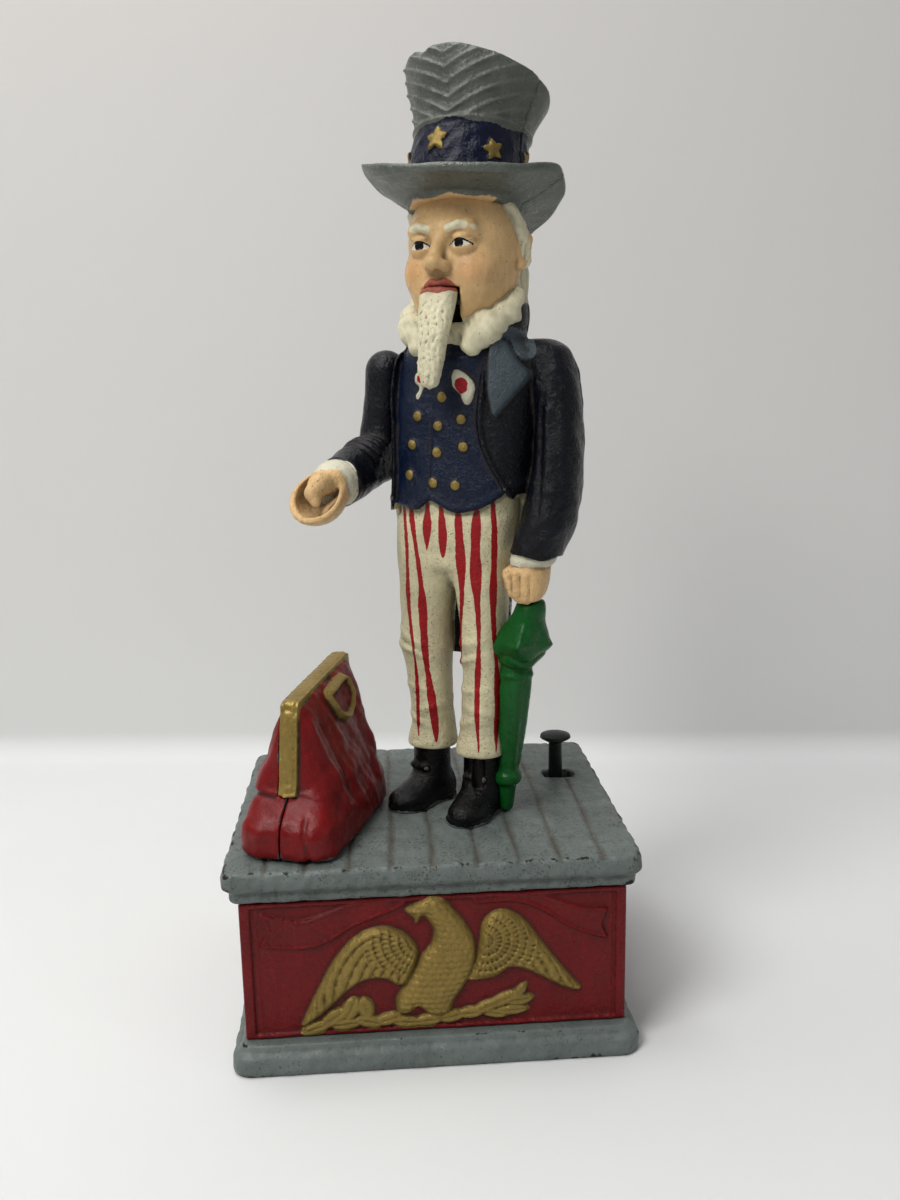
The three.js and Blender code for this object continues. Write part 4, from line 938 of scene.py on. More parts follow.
# room for the crank, its shaft and the rods
mechanism = [
    tube_cut(-10, 6, SHOULDER_Y, SHOULDER_Z, 7.8), tube_cut(-30, -8, SHOULDER_Y, SHOULDER_Z, 5.1),
    tube_cut(-20, 16, SHOULDER_Y, SHOULDER_Z, 2.3), tube_cut(11, 19, SHOULDER_Y, SHOULDER_Z, 4.4),
    drum((-9.5, ROD_Y, -1), (-9.5, ROD_Y, 138), 2.8), drum((4.5, JAW_ROD_Y, 132), (4.5, JAW_ROD_Y, 162), 2.2),
]


def body_zones():
    """Paint zones of the body."""
    def skin(x, y, z):
        return np.where(z < 90, np.minimum(.3 - fist(x, y, z), 81.2 + .3 * np.sin(x) - z), AWAY)

    def white(x, y, z):
        front = (y < 4) & (np.abs(x) < 16)
        ends = np.where(front, np.maximum(inside(cravat_left, x, z), inside(cravat_right, x, z)), AWAY)
        return np.maximum(ends + .1,
                          np.where((x > 15) & (z < 86), np.minimum(.35 - cuff(x, y, z), 84.4 - z), AWAY))

    def patch(x, y, z):
        spots = np.maximum(1.6 - np.hypot((x - 7.3) * .8, (z - 133.9) * .7),
                           1.3 - np.hypot(x + 5.8, z - 136.2))
        return np.where(y < 4, spots, AWAY)

    def trouser(x, y, z):
        legs = union(waist, left_leg, right_leg)
        room = np.where(y < 5, 2.6, .8)
        return np.where((x < 21.5) | (z > 88),
                        np.minimum(room - legs(x, y, z), (hem_height(x, y, z) - z - .2)), AWAY)

    def vest(x, y, z):
        return np.where(y < 6, np.minimum(vest_zone(x, y, z) + .1, z - 90), AWAY)

    # painted highlight: the lapels and collar leaf take the lighter lapel paint for their sheen
    def lapels(x, y, z):
        return np.where(y < 5, np.maximum(inside(lapel, x, z), inside(collar_leaf, x, z)), AWAY)

    return {
        "vest": vest, "lapel_sheen": lapels, "gold": lambda x, y, z: -vest_buttons(x, y, z, 1.45), "white": white,
        "patch": patch, "trouser": trouser,
        "stripe": lambda x, y, z: np.minimum(stripes(x, y, z), trouser(x, y, z)),
        "skin": skin,
        "shoe": lambda x, y, z: np.where(z < 24, .3 - np.minimum(shoes(x, y, z), soles(x, y, z)), AWAY),
        "sole": lambda x, y, z: .75 - z + .3 * np.sin(x / 2 + y / 3),
    }


# the lapel zone carries a painted highlight
BODY_PAINT = [("vest", "vest", .5), ("lapel_sheen", "lapel_sheen", .6), ("gold", "gold", .8), ("white", "white", .4),
              ("patch", "stripe", .8), ("trouser", "trouser", .5),
              ("stripe", "stripe", .55), ("skin", "skin", .5),
              ("shoe", "black", .5), ("sole", "primer", 1.2)]


# ---------------------------------------------------------------- the head

def strands(x, y, z, size=1.9, depth=.26, lean=0.0, seed=0.0):
    """Height of combed hair: fine wavy grooves running down the surface."""
    around = np.arctan2(x, -(y - 1)) * 15
    phase = (around + lean * z + 1.1 * np.sin(z / 4.5 + seed)
             + .5 * np.sin(z / 1.9 + around / 3)) / size * 2 * math.pi
    return depth * (np.sin(phase) + .5 * np.sin(2.3 * phase + seed))


side_beards = [chain([(s * 16.6, 1.5, 160), (s * 16.0, -4.2, 154.4),
                      (s * 12.6, -10.2, 150.4), (s * 8.7, -13.4, 145.8)],
                     [2.2, 3.3, 4.0, 3.4], 2.5) for s in (-1, 1)]
beard = union(*side_beards, rod((-9, -8, 149), (9, -8, 149), 5.4), k=2.5)
back_hair = union(egg((0, 9.4, 165), (15.6, 11.2, 19)),
                  loft([[143, 0, 8.6, 13.2, 8.2], [150, 0, 8.8, 14.6, 9.8],
                                                            [158, 0, 8.6, 15.8, 11]], cap=3), k=3)
temples = union(*[chain([(s * 15.6, -2.6, 184), (s * 17.0, 1.0, 178.5), (s * 16.6, 4.6, 170)],
                        [1.9, 2.2, 2.4], 1)
                  for s in (-1, 1)])
ears = union(*[union(
    chain([(s * 17.4, 2.2, 168.4), (s * 18.3, 4.0, 171.5), (s * 18.7, 4.3, 175.6), (s * 18.2, 2.2, 177.6),
           (s * 17.5, .6, 176)], [1.35, 1.15, 1.2, 1.2, 1.0], .5),
    egg((s * 17.1, 2.2, 172.8), (1.1, 2.6, 4.2)), egg((s * 17.4, 1.5, 168.4), (1.1, 1.4, 1.7)), k=.8)
               for s in (-1, 1)])
eyeballs = union(*[egg((s * 6.5, -13.1, 173.7), 3.75) for s in (-1, 1)])
brows = union(*[chain([(s * 3.4, -17.3, 177.5), (s * 6.6, -17.3, 178.6), (s * 10.4, -15.0, 177.4)],
                      [.8, 1.0, .6], .4)
                for s in (-1, 1)])


def jaw_width(z):
    return np.interp(z, [133, 134.4, 136.5, 143, 152, 158, 161.2], [1.2, 2.3, 3.1, 4.0, 5.0, 5.6, 5.7])


def make_head():
    """Head, hair and side beards, with the slot that the jaw swings in."""
    clay = Clay((-21, -25, 139), (21, 23, 197), STEP * .85)
    clay.add(egg((0, .8, 174.5), (17.3, 17.4, 21)))
    clay.add(egg((0, -2.4, 162), (15.0, 15.0, 14.5)), 4)
    clay.add(union(*[egg((s * 8.9, -9.6, 166.2), (5.2, 5.8, 5.4)) for s in (-1, 1)]), 4)
    clay.add(rod((-8.5, -14.8, 177.6), (8.5, -14.8, 177.6), 2.2), 3.5)
    for s in (-1, 1):
        clay.cut(egg((s * 6.5, -18.6, 173.8), (4.4, 2.9, 3.0)), 2.2)
    clay.add(eyeballs)
    for s in (-1, 1):
        lid = Shape(lambda x, y, z, s=s: np.maximum(egg((s * 6.5, -13.1, 173.7), 4.35)(x, y, z),
                                                    174.5 - z + .13 * (x - s * 6.5) ** 2),
                    (s * 6.5 - 5, -18, 171),
                    (s * 6.5 + 5, -8, 178.5))
        low = Shape(lambda x, y, z, s=s: np.maximum(egg((s * 6.5, -13.1, 173.7), 4.25)(x, y, z),
                                                    z - 172.2 - .06 * (x - s * 6.5) ** 2),
                    (s * 6.5 - 5, -18, 169),
                    (s * 6.5 + 5, -8, 174))
        clay.add(lid, .3).add(low, .3)
    nose = union(rod((0, -15.6, 176.4), (0, -19.6, 169.0), 1.5, 2.1), egg((0, -20.3, 168.0), (2.5, 2.4, 2.2)),
                 *[egg((s * 2.35, -18.3, 167.4), (1.55, 2.1, 1.6)) for s in (-1, 1)], k=1.1)
    clay.add(nose, 1.4)
    for s in (-1, 1):
        clay.cut(egg((s * 1.25, -20.0, 165.9), (.75, 1.1, .9)), .4)
    clay.add(chain([(-5.4, -15.4, 161.9), (-2.2, -17.4, 162.9),
                    (0, -17.9, 162.6), (2.2, -17.4, 162.9), (5.4, -15.4, 161.9)],
                   [.7, 1.05, 1.0, 1.05, .7], .4), 1.0)
    clay.cut(egg((0, -19.0, 164.9), (1.0, 1.2, 1.5)), .8)
    clay.add(brows, .7)
    clay.add(ears, .8)
    for s in (-1, 1):
        clay.cut(egg((s * 18.7, 1.9, 172.6), (1.0, 1.7, 2.7)), .7)
    clay.add(rod((0, 3, 138), (0, 3, 156), 10.2), 3)
    hair = clay.sub((-21, -25, 139), (21, 23, 197))
    hair.add(back_hair).add(beard, 1.0).add(temples, 1.5)
    hair.keep(lambda x, y, z: (185 - z) * .9)

    def combed(x, y, z):
        back = step01(2, 6, y)
        front = 1 - back
        h = strands(x, y, z, 2.0, .3, .05, 1) * back
        along = (z - 150) + .35 * (y + 10)
        swirl = np.sin((along + .9 * np.sin(x / 2.2 + z / 5)) * 1.05 + .9 * np.abs(x) / 2.1)
        return h + .24 * swirl * front + .12 * np.sin(2.7 * x + 1.1 * z + 2 * np.sin(z / 3)) * front
    hair.raise_by(combed, (-21, -25, 139), (21, 23, 190))
    clay.merge(hair, .5)
    clay.cut(block((-4.9, -14.2, 152), (4.9, 7.5, 168), .3))
    slot = Shape(lambda x, y,
                 z: np.maximum(np.maximum(np.abs(x) - jaw_width(z + 3) - .4, y + 13.8), z - 161.6),
                 (-7, -40, 136), (7, -13.8, 161.6))
    clay.cut(slot, .3)
    clay.cut(tube_cut(-9.4, 9.4, JAW_Y, JAW_Z, 1.5))
    rx, ry = 4.5 - HEAD_AT[0], JAW_ROD_Y - HEAD_AT[1]
    s, c = math.sin(math.radians(HEAD_YAW)), math.cos(math.radians(HEAD_YAW))
    clay.cut(drum((rx * c - ry * s, rx * s + ry * c, 136), (rx * c - ry * s, rx * s + ry * c, 168), 3.1))
    clay.cut(block((-8.5, -1, 130), (4.5, 8.2, 143.4), .4))  # the foot of the jaw rod rises under the neck
    return clay


def head_zones():
    """Paint zones of the head."""
    hair = union(back_hair, beard, temples)

    def lips(x, y, z):
        top = chain([(-4.6, -16.0, 162.1), (-2.0, -17.6, 162.8), (0, -18.0, 162.4), (2.0, -17.6, 162.8),
                     (4.6, -16.0, 162.1)], [.5, .9, .8, .9, .5], .3)
        return np.where(y < -10, .45 - top(x, y, z), AWAY)

    def lid_line(x, y, z):
        out = np.full(x.shape, AWAY)
        for s in (-1, 1):
            u = x - s * 6.5
            upper = np.abs(z - (174.45 - .13 * u * u + .05)) - .28
            out = np.maximum(out, np.where((np.abs(u) < 3.7) & (y < -12), -upper, AWAY))
        return out

    def eye(x, y, z):
        out = np.full(x.shape, AWAY)
        for s in (-1, 1):
            u = x - s * 6.5
            out = np.maximum(out, np.where(np.abs(u) < 4,
                                           np.minimum(174.5 - .13 * u * u - z, z - 172.3 - .06 * u * u),
                                           AWAY))
        return np.where(y < -12, out, AWAY)

    def iris(x, y, z):
        out = np.maximum(1.45 - np.hypot(x - 6.4, z - 173.4), 1.45 - np.hypot(x + 6.4, z - 173.4))
        return np.where(y < -12, np.minimum(out, eye(x, y, z)), AWAY)

    return {
        "hair": lambda x, y, z: np.minimum(.5 - hair(x, y, z), 186 - z),
        "brow": lambda x, y, z: .35 - brows(x, y, z),
        "lips": lips, "eye": eye, "lid": lid_line, "iris": iris,
        "blush": lambda x, y, z: np.where(y < -6, 3.6 - np.hypot(np.abs(x) - 9.4, (z - 166.4)), AWAY),
    }


HEAD_PAINT = [("hair", "cream", .7), ("brow", "cream", .35), ("lips", "lip", .3),
              ("eye", "eye", .1), ("iris", "iris", .1), ("lid", "iris", .25)]


# ---------------------------------------------------------------- the jaw and its long chin beard

def make_jaw():
    """Jaw and chin beard, with the tail that the jaw rod pushes."""
    clay = Clay((-7.5, -28, 131), (7.5, 9, 166), FINE)
    goatee = loft([[133.2, 0, -23.4, 1.2, 1.0], [134.4, 0, -23.5, 2.3, 1.9],
                   [136.5, 0, -23.4, 3.1, 2.4], [143, 0, -22.2, 4.0, 3.0],
                   [152, 0, -19.8, 5.0, 3.6], [158, 0, -17.8, 5.6, 3.8], [161.2, 0, -17, 5.7, 3.3]],
                  n=2.4, cap=.9)
    clay.add(goatee)
    lip = chain([(-4.2, -18.4, 160.2), (-1.8, -19.6, 160.5), (1.8, -19.6, 160.5), (4.2, -18.4, 160.2)],
                [.7, 1.0, 1.0, .7], .4)
    clay.add(lip, .5)

    def combed(x, y, z):
        front = step01(-17, -20, y) * step01(160, 157, z)
        phase = x * 2.6 * (1 + (158 - z) * .012) + 1.3 * np.sin(z / 4.2) + .8 * np.sin(z / 2.1 + x)
        pits = .17 * wobble(x, y, z, 2.3, 4)
        return (.14 * np.sin(phase + 1.5 * np.sin(z / 1.6)) + .1 * np.sin(2.2 * phase + z / 2) + pits) * front
    clay.raise_by(combed, (-7, -28, 132), (7, -14, 161))
    clay.add(block((-3.3, -16, 158.1), (3.3, 5.6, 160.7), .3))
    clay.add(tube_cut(-4.1, 4.1, JAW_Y, JAW_Z, 2.8))
    clay.add(block((-3.7, 3, 158.2), (3.7, 6.5, 163.3), .3))
    clay.cut(tube_cut(-8, 8, JAW_Y, JAW_Z, 1.5))
    clay.keep(lambda x, y, z: 5.9 - np.abs(x))
    return clay


# ---------------------------------------------------------------- the hat

def around(rows):
    """A smooth closed table: degrees round from the front (towards the figure's left) to a value."""
    turns, values = np.array(rows, float).T
    every = np.arange(-180, 181, 3)
    table = np.interp(every, turns, values, period=360)
    for _ in range(4):
        table[:-1] = (np.roll(table[:-1], 1) + 2 * table[:-1] + np.roll(table[:-1], -1)) / 4
    table[-1] = table[0]
    return lambda a: np.interp(np.degrees(a), every, table)


brim_lift = around([[-180, -3.4], [-150, -1.6], [-120, 5.6],
                    [-105, 7.4], [-90, 7.8], [-75, 7.9], [-58, 7.7], [-30, 3.7], [0, 1.3], [32, 1.2],
                    [60, 3.6], [78, 6.8], [90, 7.8], [98, 6.8], [122, 4.6], [150, .2]])
brim_reach = around([[-180, 29.6], [-120, 30.2], [-75, 31.6],
                     [-58, 31.8], [0, 30.2], [60, 29.6], [90, 30.0], [122, 28.0],
                     [150, 27.8]])
crown_radius = line_of([[-2, 17.5], [2, 17.4], [12, 17.3], [18, 17.2],
                        [22, 18.0], [27, 19.7], [31, 21.3], [38, 23.0]])
crown_lean = line_of([[-3, 0], [14, 0], [20, .8], [27, 1.9], [31, 2.3], [40, 2.7]])


def crown_top(x, y):
    return 34.2 - .12 * x - .165 * y


STARS = [(-1.6, 13.2, 3.9), (15.5, 10.6, 3.4), (-19.5, 11, 3.6),
         (31, 11.5, 3.5), (49, 11, 3.6), (-40, 11, 3.6)]


def crown_arc(x, y):
    return np.arctan2(x, -y) * 17.6


def star(x, y, cx, cy, r, turn_by=0.0):
    """Positive inside a plain five-pointed star."""
    a = np.arctan2(x - cx, y - cy) + turn_by
    q = np.hypot(x - cx, y - cy)
    fold = np.abs((a / (2 * math.pi / 5) + .5) % 1 - .5) * 2
    return r * (1 - .5 * fold ** .8) - q


def hat_star_zone(x, y, z):
    s = crown_arc(x, y)
    out = np.full(np.broadcast(x, y, z).shape, AWAY)
    for i, (cx, cz, r) in enumerate(STARS):
        out = np.maximum(out, star(s, z, cx, cz, r, .3 * i))
    return np.where((np.hypot(x, y) < 19.5) & (z < 18), out, AWAY)


def band_zone(x, y, z):
    s = crown_arc(x, y)
    top = 18.0 + .5 * np.sin(s / 5.2 + 1.2) + .3 * np.sin(s / 1.9)
    return np.where(np.hypot(x, y) < 19.6, np.minimum(top - z, z - 2.2), AWAY)


def make_hat():
    """The top hat."""
    clay = Clay((-35, -35, AWAY), (35, 35, 45), STEP * .85)

    def crown(x, y, z):
        lean = crown_lean(z)
        side = np.hypot(x - .85 * lean, y - .53 * lean) - crown_radius(z)
        top = (z - crown_top(x, y)) * .97
        return smax(side * .95, np.maximum(top, -3 - z), .8)
    clay.add(Shape(crown, (-26, -26, -3), (28, 28, 42)))

    def ribs(x, y, z):
        s = crown_arc(x, y)
        valley = np.abs(s - 1.4 + .03 * (z - 26))
        phase = ((z - .56 * valley + .003 * valley ** 2) / 3.65) % 1
        ridge = np.exp(-((phase - .5) / .15) ** 2)
        band = step01(19.4, 20.4, z)
        rim = step01(crown_top(x, y) - .2, crown_top(x, y) - 1.4, z)
        outer = step01(14, 15.5, np.hypot(x, y))
        h = .85 * ridge * band * rim * outer * step01(30, 20, valley) * (.75 + .35 * wobble(x, y, z, 9, 11))
        h = h + .45 * np.exp(-((z - 19.0) / .55) ** 2) * outer
        h = h + .28 * wobble(x * 1.3, y, z, 6.5, 2) * step01(18.5, 16, z) * step01(2, 4, z) * outer
        h = h + .6 * step01(-.3, .3, hat_star_zone(x, y, z)) * outer
        return h
    clay.raise_by(ribs, (-27, -27, 2), (29, 29, 44))

    def chip(x, y, z):
        q = np.sqrt(((x + 6.5) / 3.2) ** 2 + ((y + 20.0) / 2.2) ** 2 + ((z - 38.2) / 1.3) ** 2)
        return -1.1 * step01(1.3, .7, q + .15 * wobble(x, y, z, 2.5)) + .18 * wobble(x, y, z, 14, 7)
    clay.raise_by(chip, (-27, -27, 20), (29, 29, 44))

    def brim(x, y, z):
        r = np.hypot(x, y)
        a = np.arctan2(x, -y)
        out = np.clip((r - 15) / 14.8, 0, 1.3)
        mid = brim_lift(a) * out ** 1.5 - .3
        edge = brim_reach(a) + .12 * np.sin(7 * a) + .1 * np.sin(13 * a + 1)
        thick = 1.25 - .25 * out
        slope = .15 + np.abs(brim_lift(a)) * 1.5 * out ** .5 / 14.8
        d = (np.abs(z - mid) - thick) / np.sqrt(1 + slope ** 2)
        return smax(d, r - edge, 1.2)
    clay.add(Shape(brim, (-31, -31, -8), (31, 31, 10)), 1.3)
    clay.raise_by(lambda x, y, z: .3 * np.exp(-((np.hypot(x, y) - 28.9) / .6) ** 2)
                  + .16 * wobble(x, y, z, 18, 4),
                  (-33, -34, AWAY), (33, 34, 12))
    return clay


def forehead_line(x, y, z):
    """The skin colour brushed up on the underside of the brim."""
    a = np.arctan2(x, -y)
    r = np.hypot(x, y)
    return np.where((np.abs(a) < 1.0) & (z < 1.5), 17.2 + .3 * np.sin(9 * a) - r, AWAY)


# ---------------------------------------------------------------- the right arm

upper_sleeve = chain([(-22.6, 4.6, 138.6), (-23.9, 4.8, 128), (-25.2, 4.6, 119), (-25.6, 3.4, 112.4)],
                     [6.6, 6.1, 6.4, 7.3], 1)
fore_sleeve = chain([(-25.6, 3.2, 112.0), (-26.6, -5, 110.2), (-27.6, -13, 108.0), (-28.2, -20.4, 106.2)],
                    [7.5, 7.7, 7.6, 7.5], 1)
arm_cuff = chain([(-28.2, -18, 106.6), (-28.6, -22.6, 105.9)], [6.9, 7.1], 0)
PALM = np.array([-29.4, -33.0, 102.8])
PALM_FACES = np.array([.216, -.742, .641])
palm_shell = egg(PALM, (7.6, 12.6, 8.0))


def make_arm():
    """The swinging arm and its cupped hand."""
    clay = Clay((-42, -50, 94), (-10, 16, 148), STEP * .9)
    clay.add(upper_sleeve).add(fore_sleeve, 2.0)

    def folds(x, y, z):
        h = 0
        for cy, slope, top in [(-1.6, .75, 1.0), (1.8, .95, .9),
                               (-5.0, .6, .9), (-8.4, .5, .7), (-12.5, .4, .45)]:
            along = y - cy + slope * (z - 112) * .8 + .8 * np.sin((x + 26) / 3.4)
            h = h + top * np.exp(-(along / 1.05) ** 2) * step01(104, 108, z)
        return h + .18 * wobble(x, y, z, 14, 2)
    clay.raise_by(folds, (-36, -18, 100), (-16, 14, 146))
    clay.keep(lambda x, y, z: y + 21.2 + .4 * np.sin(x / 2 + z / 2))
    clay.add(arm_cuff, .1)
    hand = clay.sub((-42, -50, 94), (-14, -18, 120))
    hand.add(palm_shell)
    hand.add(rod((-28.6, -19, 106.6), (-28.6, -27, 105.0), 5.4, 5.6), 2.5)

    def mouth(x, y, z):
        """The open side of the cupped palm, turned up and to the front."""
        away = (x - PALM[0]) * PALM_FACES[0] + (y - PALM[1]) * PALM_FACES[1] + (z - PALM[2]) * PALM_FACES[2]
        return away - 1.2 - .5 * np.sin(x / 2.4 + 1) - .4 * np.sin(y / 3.1)
    hand.cut(Shape(lambda x, y, z: np.maximum(-mouth(x, y, z), y + 24.6), (-42, -50, 94), (-14, -24.6, 120)),
             1.2)
    hand.cut(egg(PALM + 1.6 * PALM_FACES, (6.0, 10.9, 6.6)), .6)
    thumb = chain([(-25.8, -20.4, 106.4), (-26.9, -26.4, 107.0), (-28.6, -32.6, 106.6), (-29.2, -35.6, 104.4),
                   (-28.0, -36.6, 102.0)], [4.0, 3.8, 3.1, 2.3, 1.5], 1.2)
    finger = chain([(-23.4, -27.6, 102.6), (-24.4, -30.4, 100.8), (-26.4, -34.0, 99.0)], [1.7, 1.6, 1.5], .6)
    hand.add(thumb, 1.0).add(finger, .6)
    # the four fingers show as shallow grooves across the far edge
    grooves = (-35.2, -33.0, -30.6)
    hand.raise_by(lambda x, y,
                  z: sum(-.35 * np.exp(-((x - gx - .25 * (y + 40)) / .45) ** 2) for gx in grooves)
                  * step01(-36, -40, y), (-42, -50, 94), (-14, -36, 112))
    clay.merge(hand, .3)
    clay.add(drum((-20, SHOULDER_Y, SHOULDER_Z), (-11, SHOULDER_Y, SHOULDER_Z), 4.3), .3)
    clay.cut(tube_cut(-30, -9, SHOULDER_Y, SHOULDER_Z, 2.3))

    def outside(x, y, z):
        """Flat inner face, set further out below the shoulder, with the hub standing through it."""
        r = np.hypot(y - SHOULDER_Y, z - SHOULDER_Z)
        return np.where(r < 4.6, 9, np.where(r < 11, -17.75 - x, -19.7 - x))
    clay.keep(outside)
    return clay


def arm_zones():
    """Paint zones of the arm."""
    def skin(x, y, z):
        past_cuff = np.minimum(arm_cuff(x, y, z) - .25, fore_sleeve(x, y, z) - .9)
        return np.where(y < -19, np.maximum(-22.9 - y - .3 * np.sin(x + z / 2), past_cuff), AWAY)

    def white(x, y, z):
        return np.where(y < -12, np.minimum(.4 - arm_cuff(x, y, z), -21.1 + .4 * np.sin(x / 2 + z / 2) - y),
                        AWAY)
    return {"skin": skin, "white": white}


# ---------------------------------------------------------------- the umbrella

def umbrella_axis(z):
    return np.interp(z, [0, 12, 47, 57, 69], [17.0, 17.9, 21.5, 23.3, 26.6]), -1.0 - .055 * z


def make_umbrella():
    """The furled umbrella."""
    clay = Clay((3, -20, 0), (42, 16, 72), FINE * 1.1)
    def radius(z):
        return np.interp(z, [.4, 2, 9.4, 10.2, 11, 13, 14.2,
                             15.6, 28, 42, 46.6, 48.6, 51, 54.5, 57, 60, 64, 70.5],
                         [1.7, 2.3, 2.9, 3.9, 4.4, 4.4, 3.5,
                          3.3, 4.4, 5.1, 4.9, 5.0, 6.0, 6.9, 7.0, 6.3, 5.2, 3.8])

    def f(x, y, z):
        ax, ay = umbrella_axis(z)
        x, y = x - ax, y - ay
        a = np.arctan2(y, x) - math.radians(197)
        r = np.hypot(x, y)
        peak = np.exp(-np.abs(z - 56.6 + .6 * np.cos(2 * a)) / 4.6)
        points = 3.1 * peak * (1 - np.abs(np.sin(2 * a + .25 * np.sin(a)))) * step01(48, 52, z)
        shaft = step01(14, 18, z) * step01(48, 44, z) * .2 * np.cos(6 * a + z * .06)
        return smax((r - radius(z) - points - shaft) * .8, np.maximum(.4 - z, z - 70.5), .8)
    clay.add(Shape(f, (3, -20, .4), (42, 16, 70.5)))

    def folds(x, y, z):
        ax, ay = umbrella_axis(z)
        a = np.arctan2(y - ay, x - ax)
        h = -.5 * np.exp(-((z - 49.0 - .8 * np.sin(a * 2)) / .6) ** 2) + .45 * np.exp(-((z - 46.6) / .8) ** 2)
        h = h - .5 * np.exp(-((z - 52.5 - 1.4 * np.sin(a * 3 + 1)) / .8) ** 2) * step01(49, 51, z)
        return h + .22 * wobble(x, y, z, 8, 2) * step01(46, 50, z) + .07 * wobble(x, y, z, 7, 3)
    clay.raise_by(folds, (3, -20, 15), (42, 16, 71))
    clay.cut(grown(fist, .35))
    clay.cut(grown(cuff, .35))
    clay.cut(grown(left_leg, .35))
    return clay


# ---------------------------------------------------------------- the bag

bag_rings = [  # z, left and right reach, near and far end
    (.3, -14.9, 15.4, 1.2, 60.0), (2, -15.2, 15.9, .5, 60.3),
             (6, -15.1, 15.9, .3, 60.4), (10, -14.6, 15.2, 1.2, 60.1),
    (13, -13.6, 14.0, 3.6, 59.6), (15.5, -12.7, 13.2, 6.4, 59.4), (18, -13.3, 12.6, 8.6, 59.4),
    (21.5, -12.6, 11.6, 9.9, 59.2), (27, -9.4, 9.4, 10.7, 58.7),
             (36, -6.2, 6.8, 11.9, 58.0), (43, -4.0, 4.7, 12.9, 57.2),
    (46, -3.0, 3.4, 14.0, 56.4),
]


def bag_shape(shrink=0.0, corner=5.5):
    rows = [(z, (a + b) / 2, (c + d) / 2, (b - a) / 2 - shrink, (d - c) / 2 - shrink) for z,
            a, b, c, d in bag_rings]
    body = loft(rows, n=corner, cap=1.6)

    def f(u, v, z):
        top = 43.4 + (v - 13) * .1
        return body.f(u, v, z + (46 - top) * step01(14, 46, z) + shrink * 1.3 * step01(30, 46, z)) * .93
    return Shape(f, body.lo - (0, 0, 1), body.hi + (0, 0, 3))


bag_full = bag_shape()
handle = outline([(29.2, 43.2), (30.4, 38.6), (33.4, 34.0), (38, 32.3),
                  (43.2, 33.4), (46.8, 37), (47.4, 41.6), (44.4, 45.4),
                  (37, 44.6)], 5)


def bag_relief(u, v, z):
    """Drape folds of the leather sides, the worn crease, and dents."""
    right = step01(2, 5, u)
    left = step01(-2, -5, u)
    near = step01(9, 5, v - .25 * z)
    h = 0
    for vc, amount, wide, lean in [(17.5, .95, 1.9, .16), (24, -.75, 1.5, .12),
                                   (30, .5, 2.4, .05), (52.5, .6, 2.2, -.16),
                                   (47, -.5, 1.8, -.1)]:
        h = h + amount * np.exp(-((v - vc + lean * (z - 24) + .6 * np.sin(z / 4.5))
                                  / wide) ** 2) * step01(6, 16, z) * step01(43, 34, z)
    h = h * (right + left)
    h = h - .8 * np.exp(-((z - 17.6 - .05 * (v - 30) - .5 * np.sin(v / 4)) / .75) ** 2) * left
    h = h - .5 * np.exp(-((z - 16.8 - .5 * np.sin(u / 2.2)) / .8) ** 2) * near
    h = h - .55 * np.exp(-((u - 8.6 + .12 * z) / .9) ** 2) * near * step01(15, 11, z)
    h = h + .35 * np.exp(-((u + 7.2 - .1 * z) / 1.6) ** 2) * near * step01(16, 8, z)
    return h + .38 * wobble(u, v, z, 13, 3) + .14 * wobble(u, v, z, 5.5, 8)


def handle_relief(u, v, z):
    d = inside(handle, v, z)
    rim = np.exp(-((d - 1.25) / .95) ** 2) * 1.5
    return (dome(d, 1.6, .9) + rim) * step01(1.5, 3, u)


def strap_volume(grow=0.0):
    """The metal frame over the bag's mouth and down both ends."""
    inner = bag_shape(2.4)

    def f(u, v, z):
        side = np.abs(u) - 2.75 - grow
        outside = bag_full.f(u, v, z) - 1.25 - grow
        low = np.where(v < 35, 17.6 - grow - z, 30 - grow - z)
        return smax(smax(smax(side, outside, .5), low, .6), -(inner.f(u, v, z) + grow), .3)
    return Shape(f, (-3 - grow, 3, 16), (3 + grow, 63, 51))


def make_bag():
    """The bag's fixed half and outer half."""
    lo, hi = (-18.5, -2, -14.5), (18.5, 63.5, 51)
    full = Clay(lo, hi, FINE * 1.1)
    full.add(bag_full)
    full.raise_by(bag_relief, (-18, -2, 0), (18, 63, 50))
    full.cut(bag_shape(2.6), .5)
    full.cut(block((-12, 4, -2), (12.4, 57, 4)), .5)
    full.keep(lambda u, v, z: z - .3)
    body = full.copy()
    body.raise_by(handle_relief, (1.5, 26, 30), (18, 50, 49))
    body.keep(lambda u, v, z: u - .2)
    body.add(strap_volume(), .15)

    def stamped(u, v, z):
        """Hammered surface of the frame."""
        on = step01(.2, -.2, np.abs(u) - 2.6)
        edge_line = .3 * np.exp(-((np.abs(u) - 2.0) / .3) ** 2)
        return .14 * wobble(u, v, z, 3.2, 5) * on - edge_line * on * step01(16, 19, z)
    body.raise_by(stamped, (-3.2, 2, 17), (3.2, 63, 51))
    for v in (12.4, 52):
        body.add(drum((8.6, v, .3), (8.6, v, 9), 2.9), .3)
        body.cut(drum((8.6, v, -1), (8.6, v, 7.6), 1.7))
    door = full
    door.keep(lambda u, v, z: -.2 - u)
    door.keep(lambda u, v, z: z - 1.2 - .3 * np.clip(-10.8 - u, 0, None))  # clears the deck as it swings open
    door.cut(strap_volume(.55))
    for v in (16.8, 41.4):
        door.add(union(drum((-7.2, v - 1.5, 3), (-7.2, v + 1.5, 3), 2.6),
                       block((-12.9, v - 1.5, 2.2), (-7.2, v + 1.5, 5.2))))
        door.cut(drum((-7.2, v - 3, 3), (-7.2, v + 3, 3), 1.5))
    door.add(union(block((-4.3, 50.4, -13.9), (-1.9, 53.6, 9)), block((-12.6, 50.4, 5.4), (-1.9, 53.6, 9))))
    return body, door


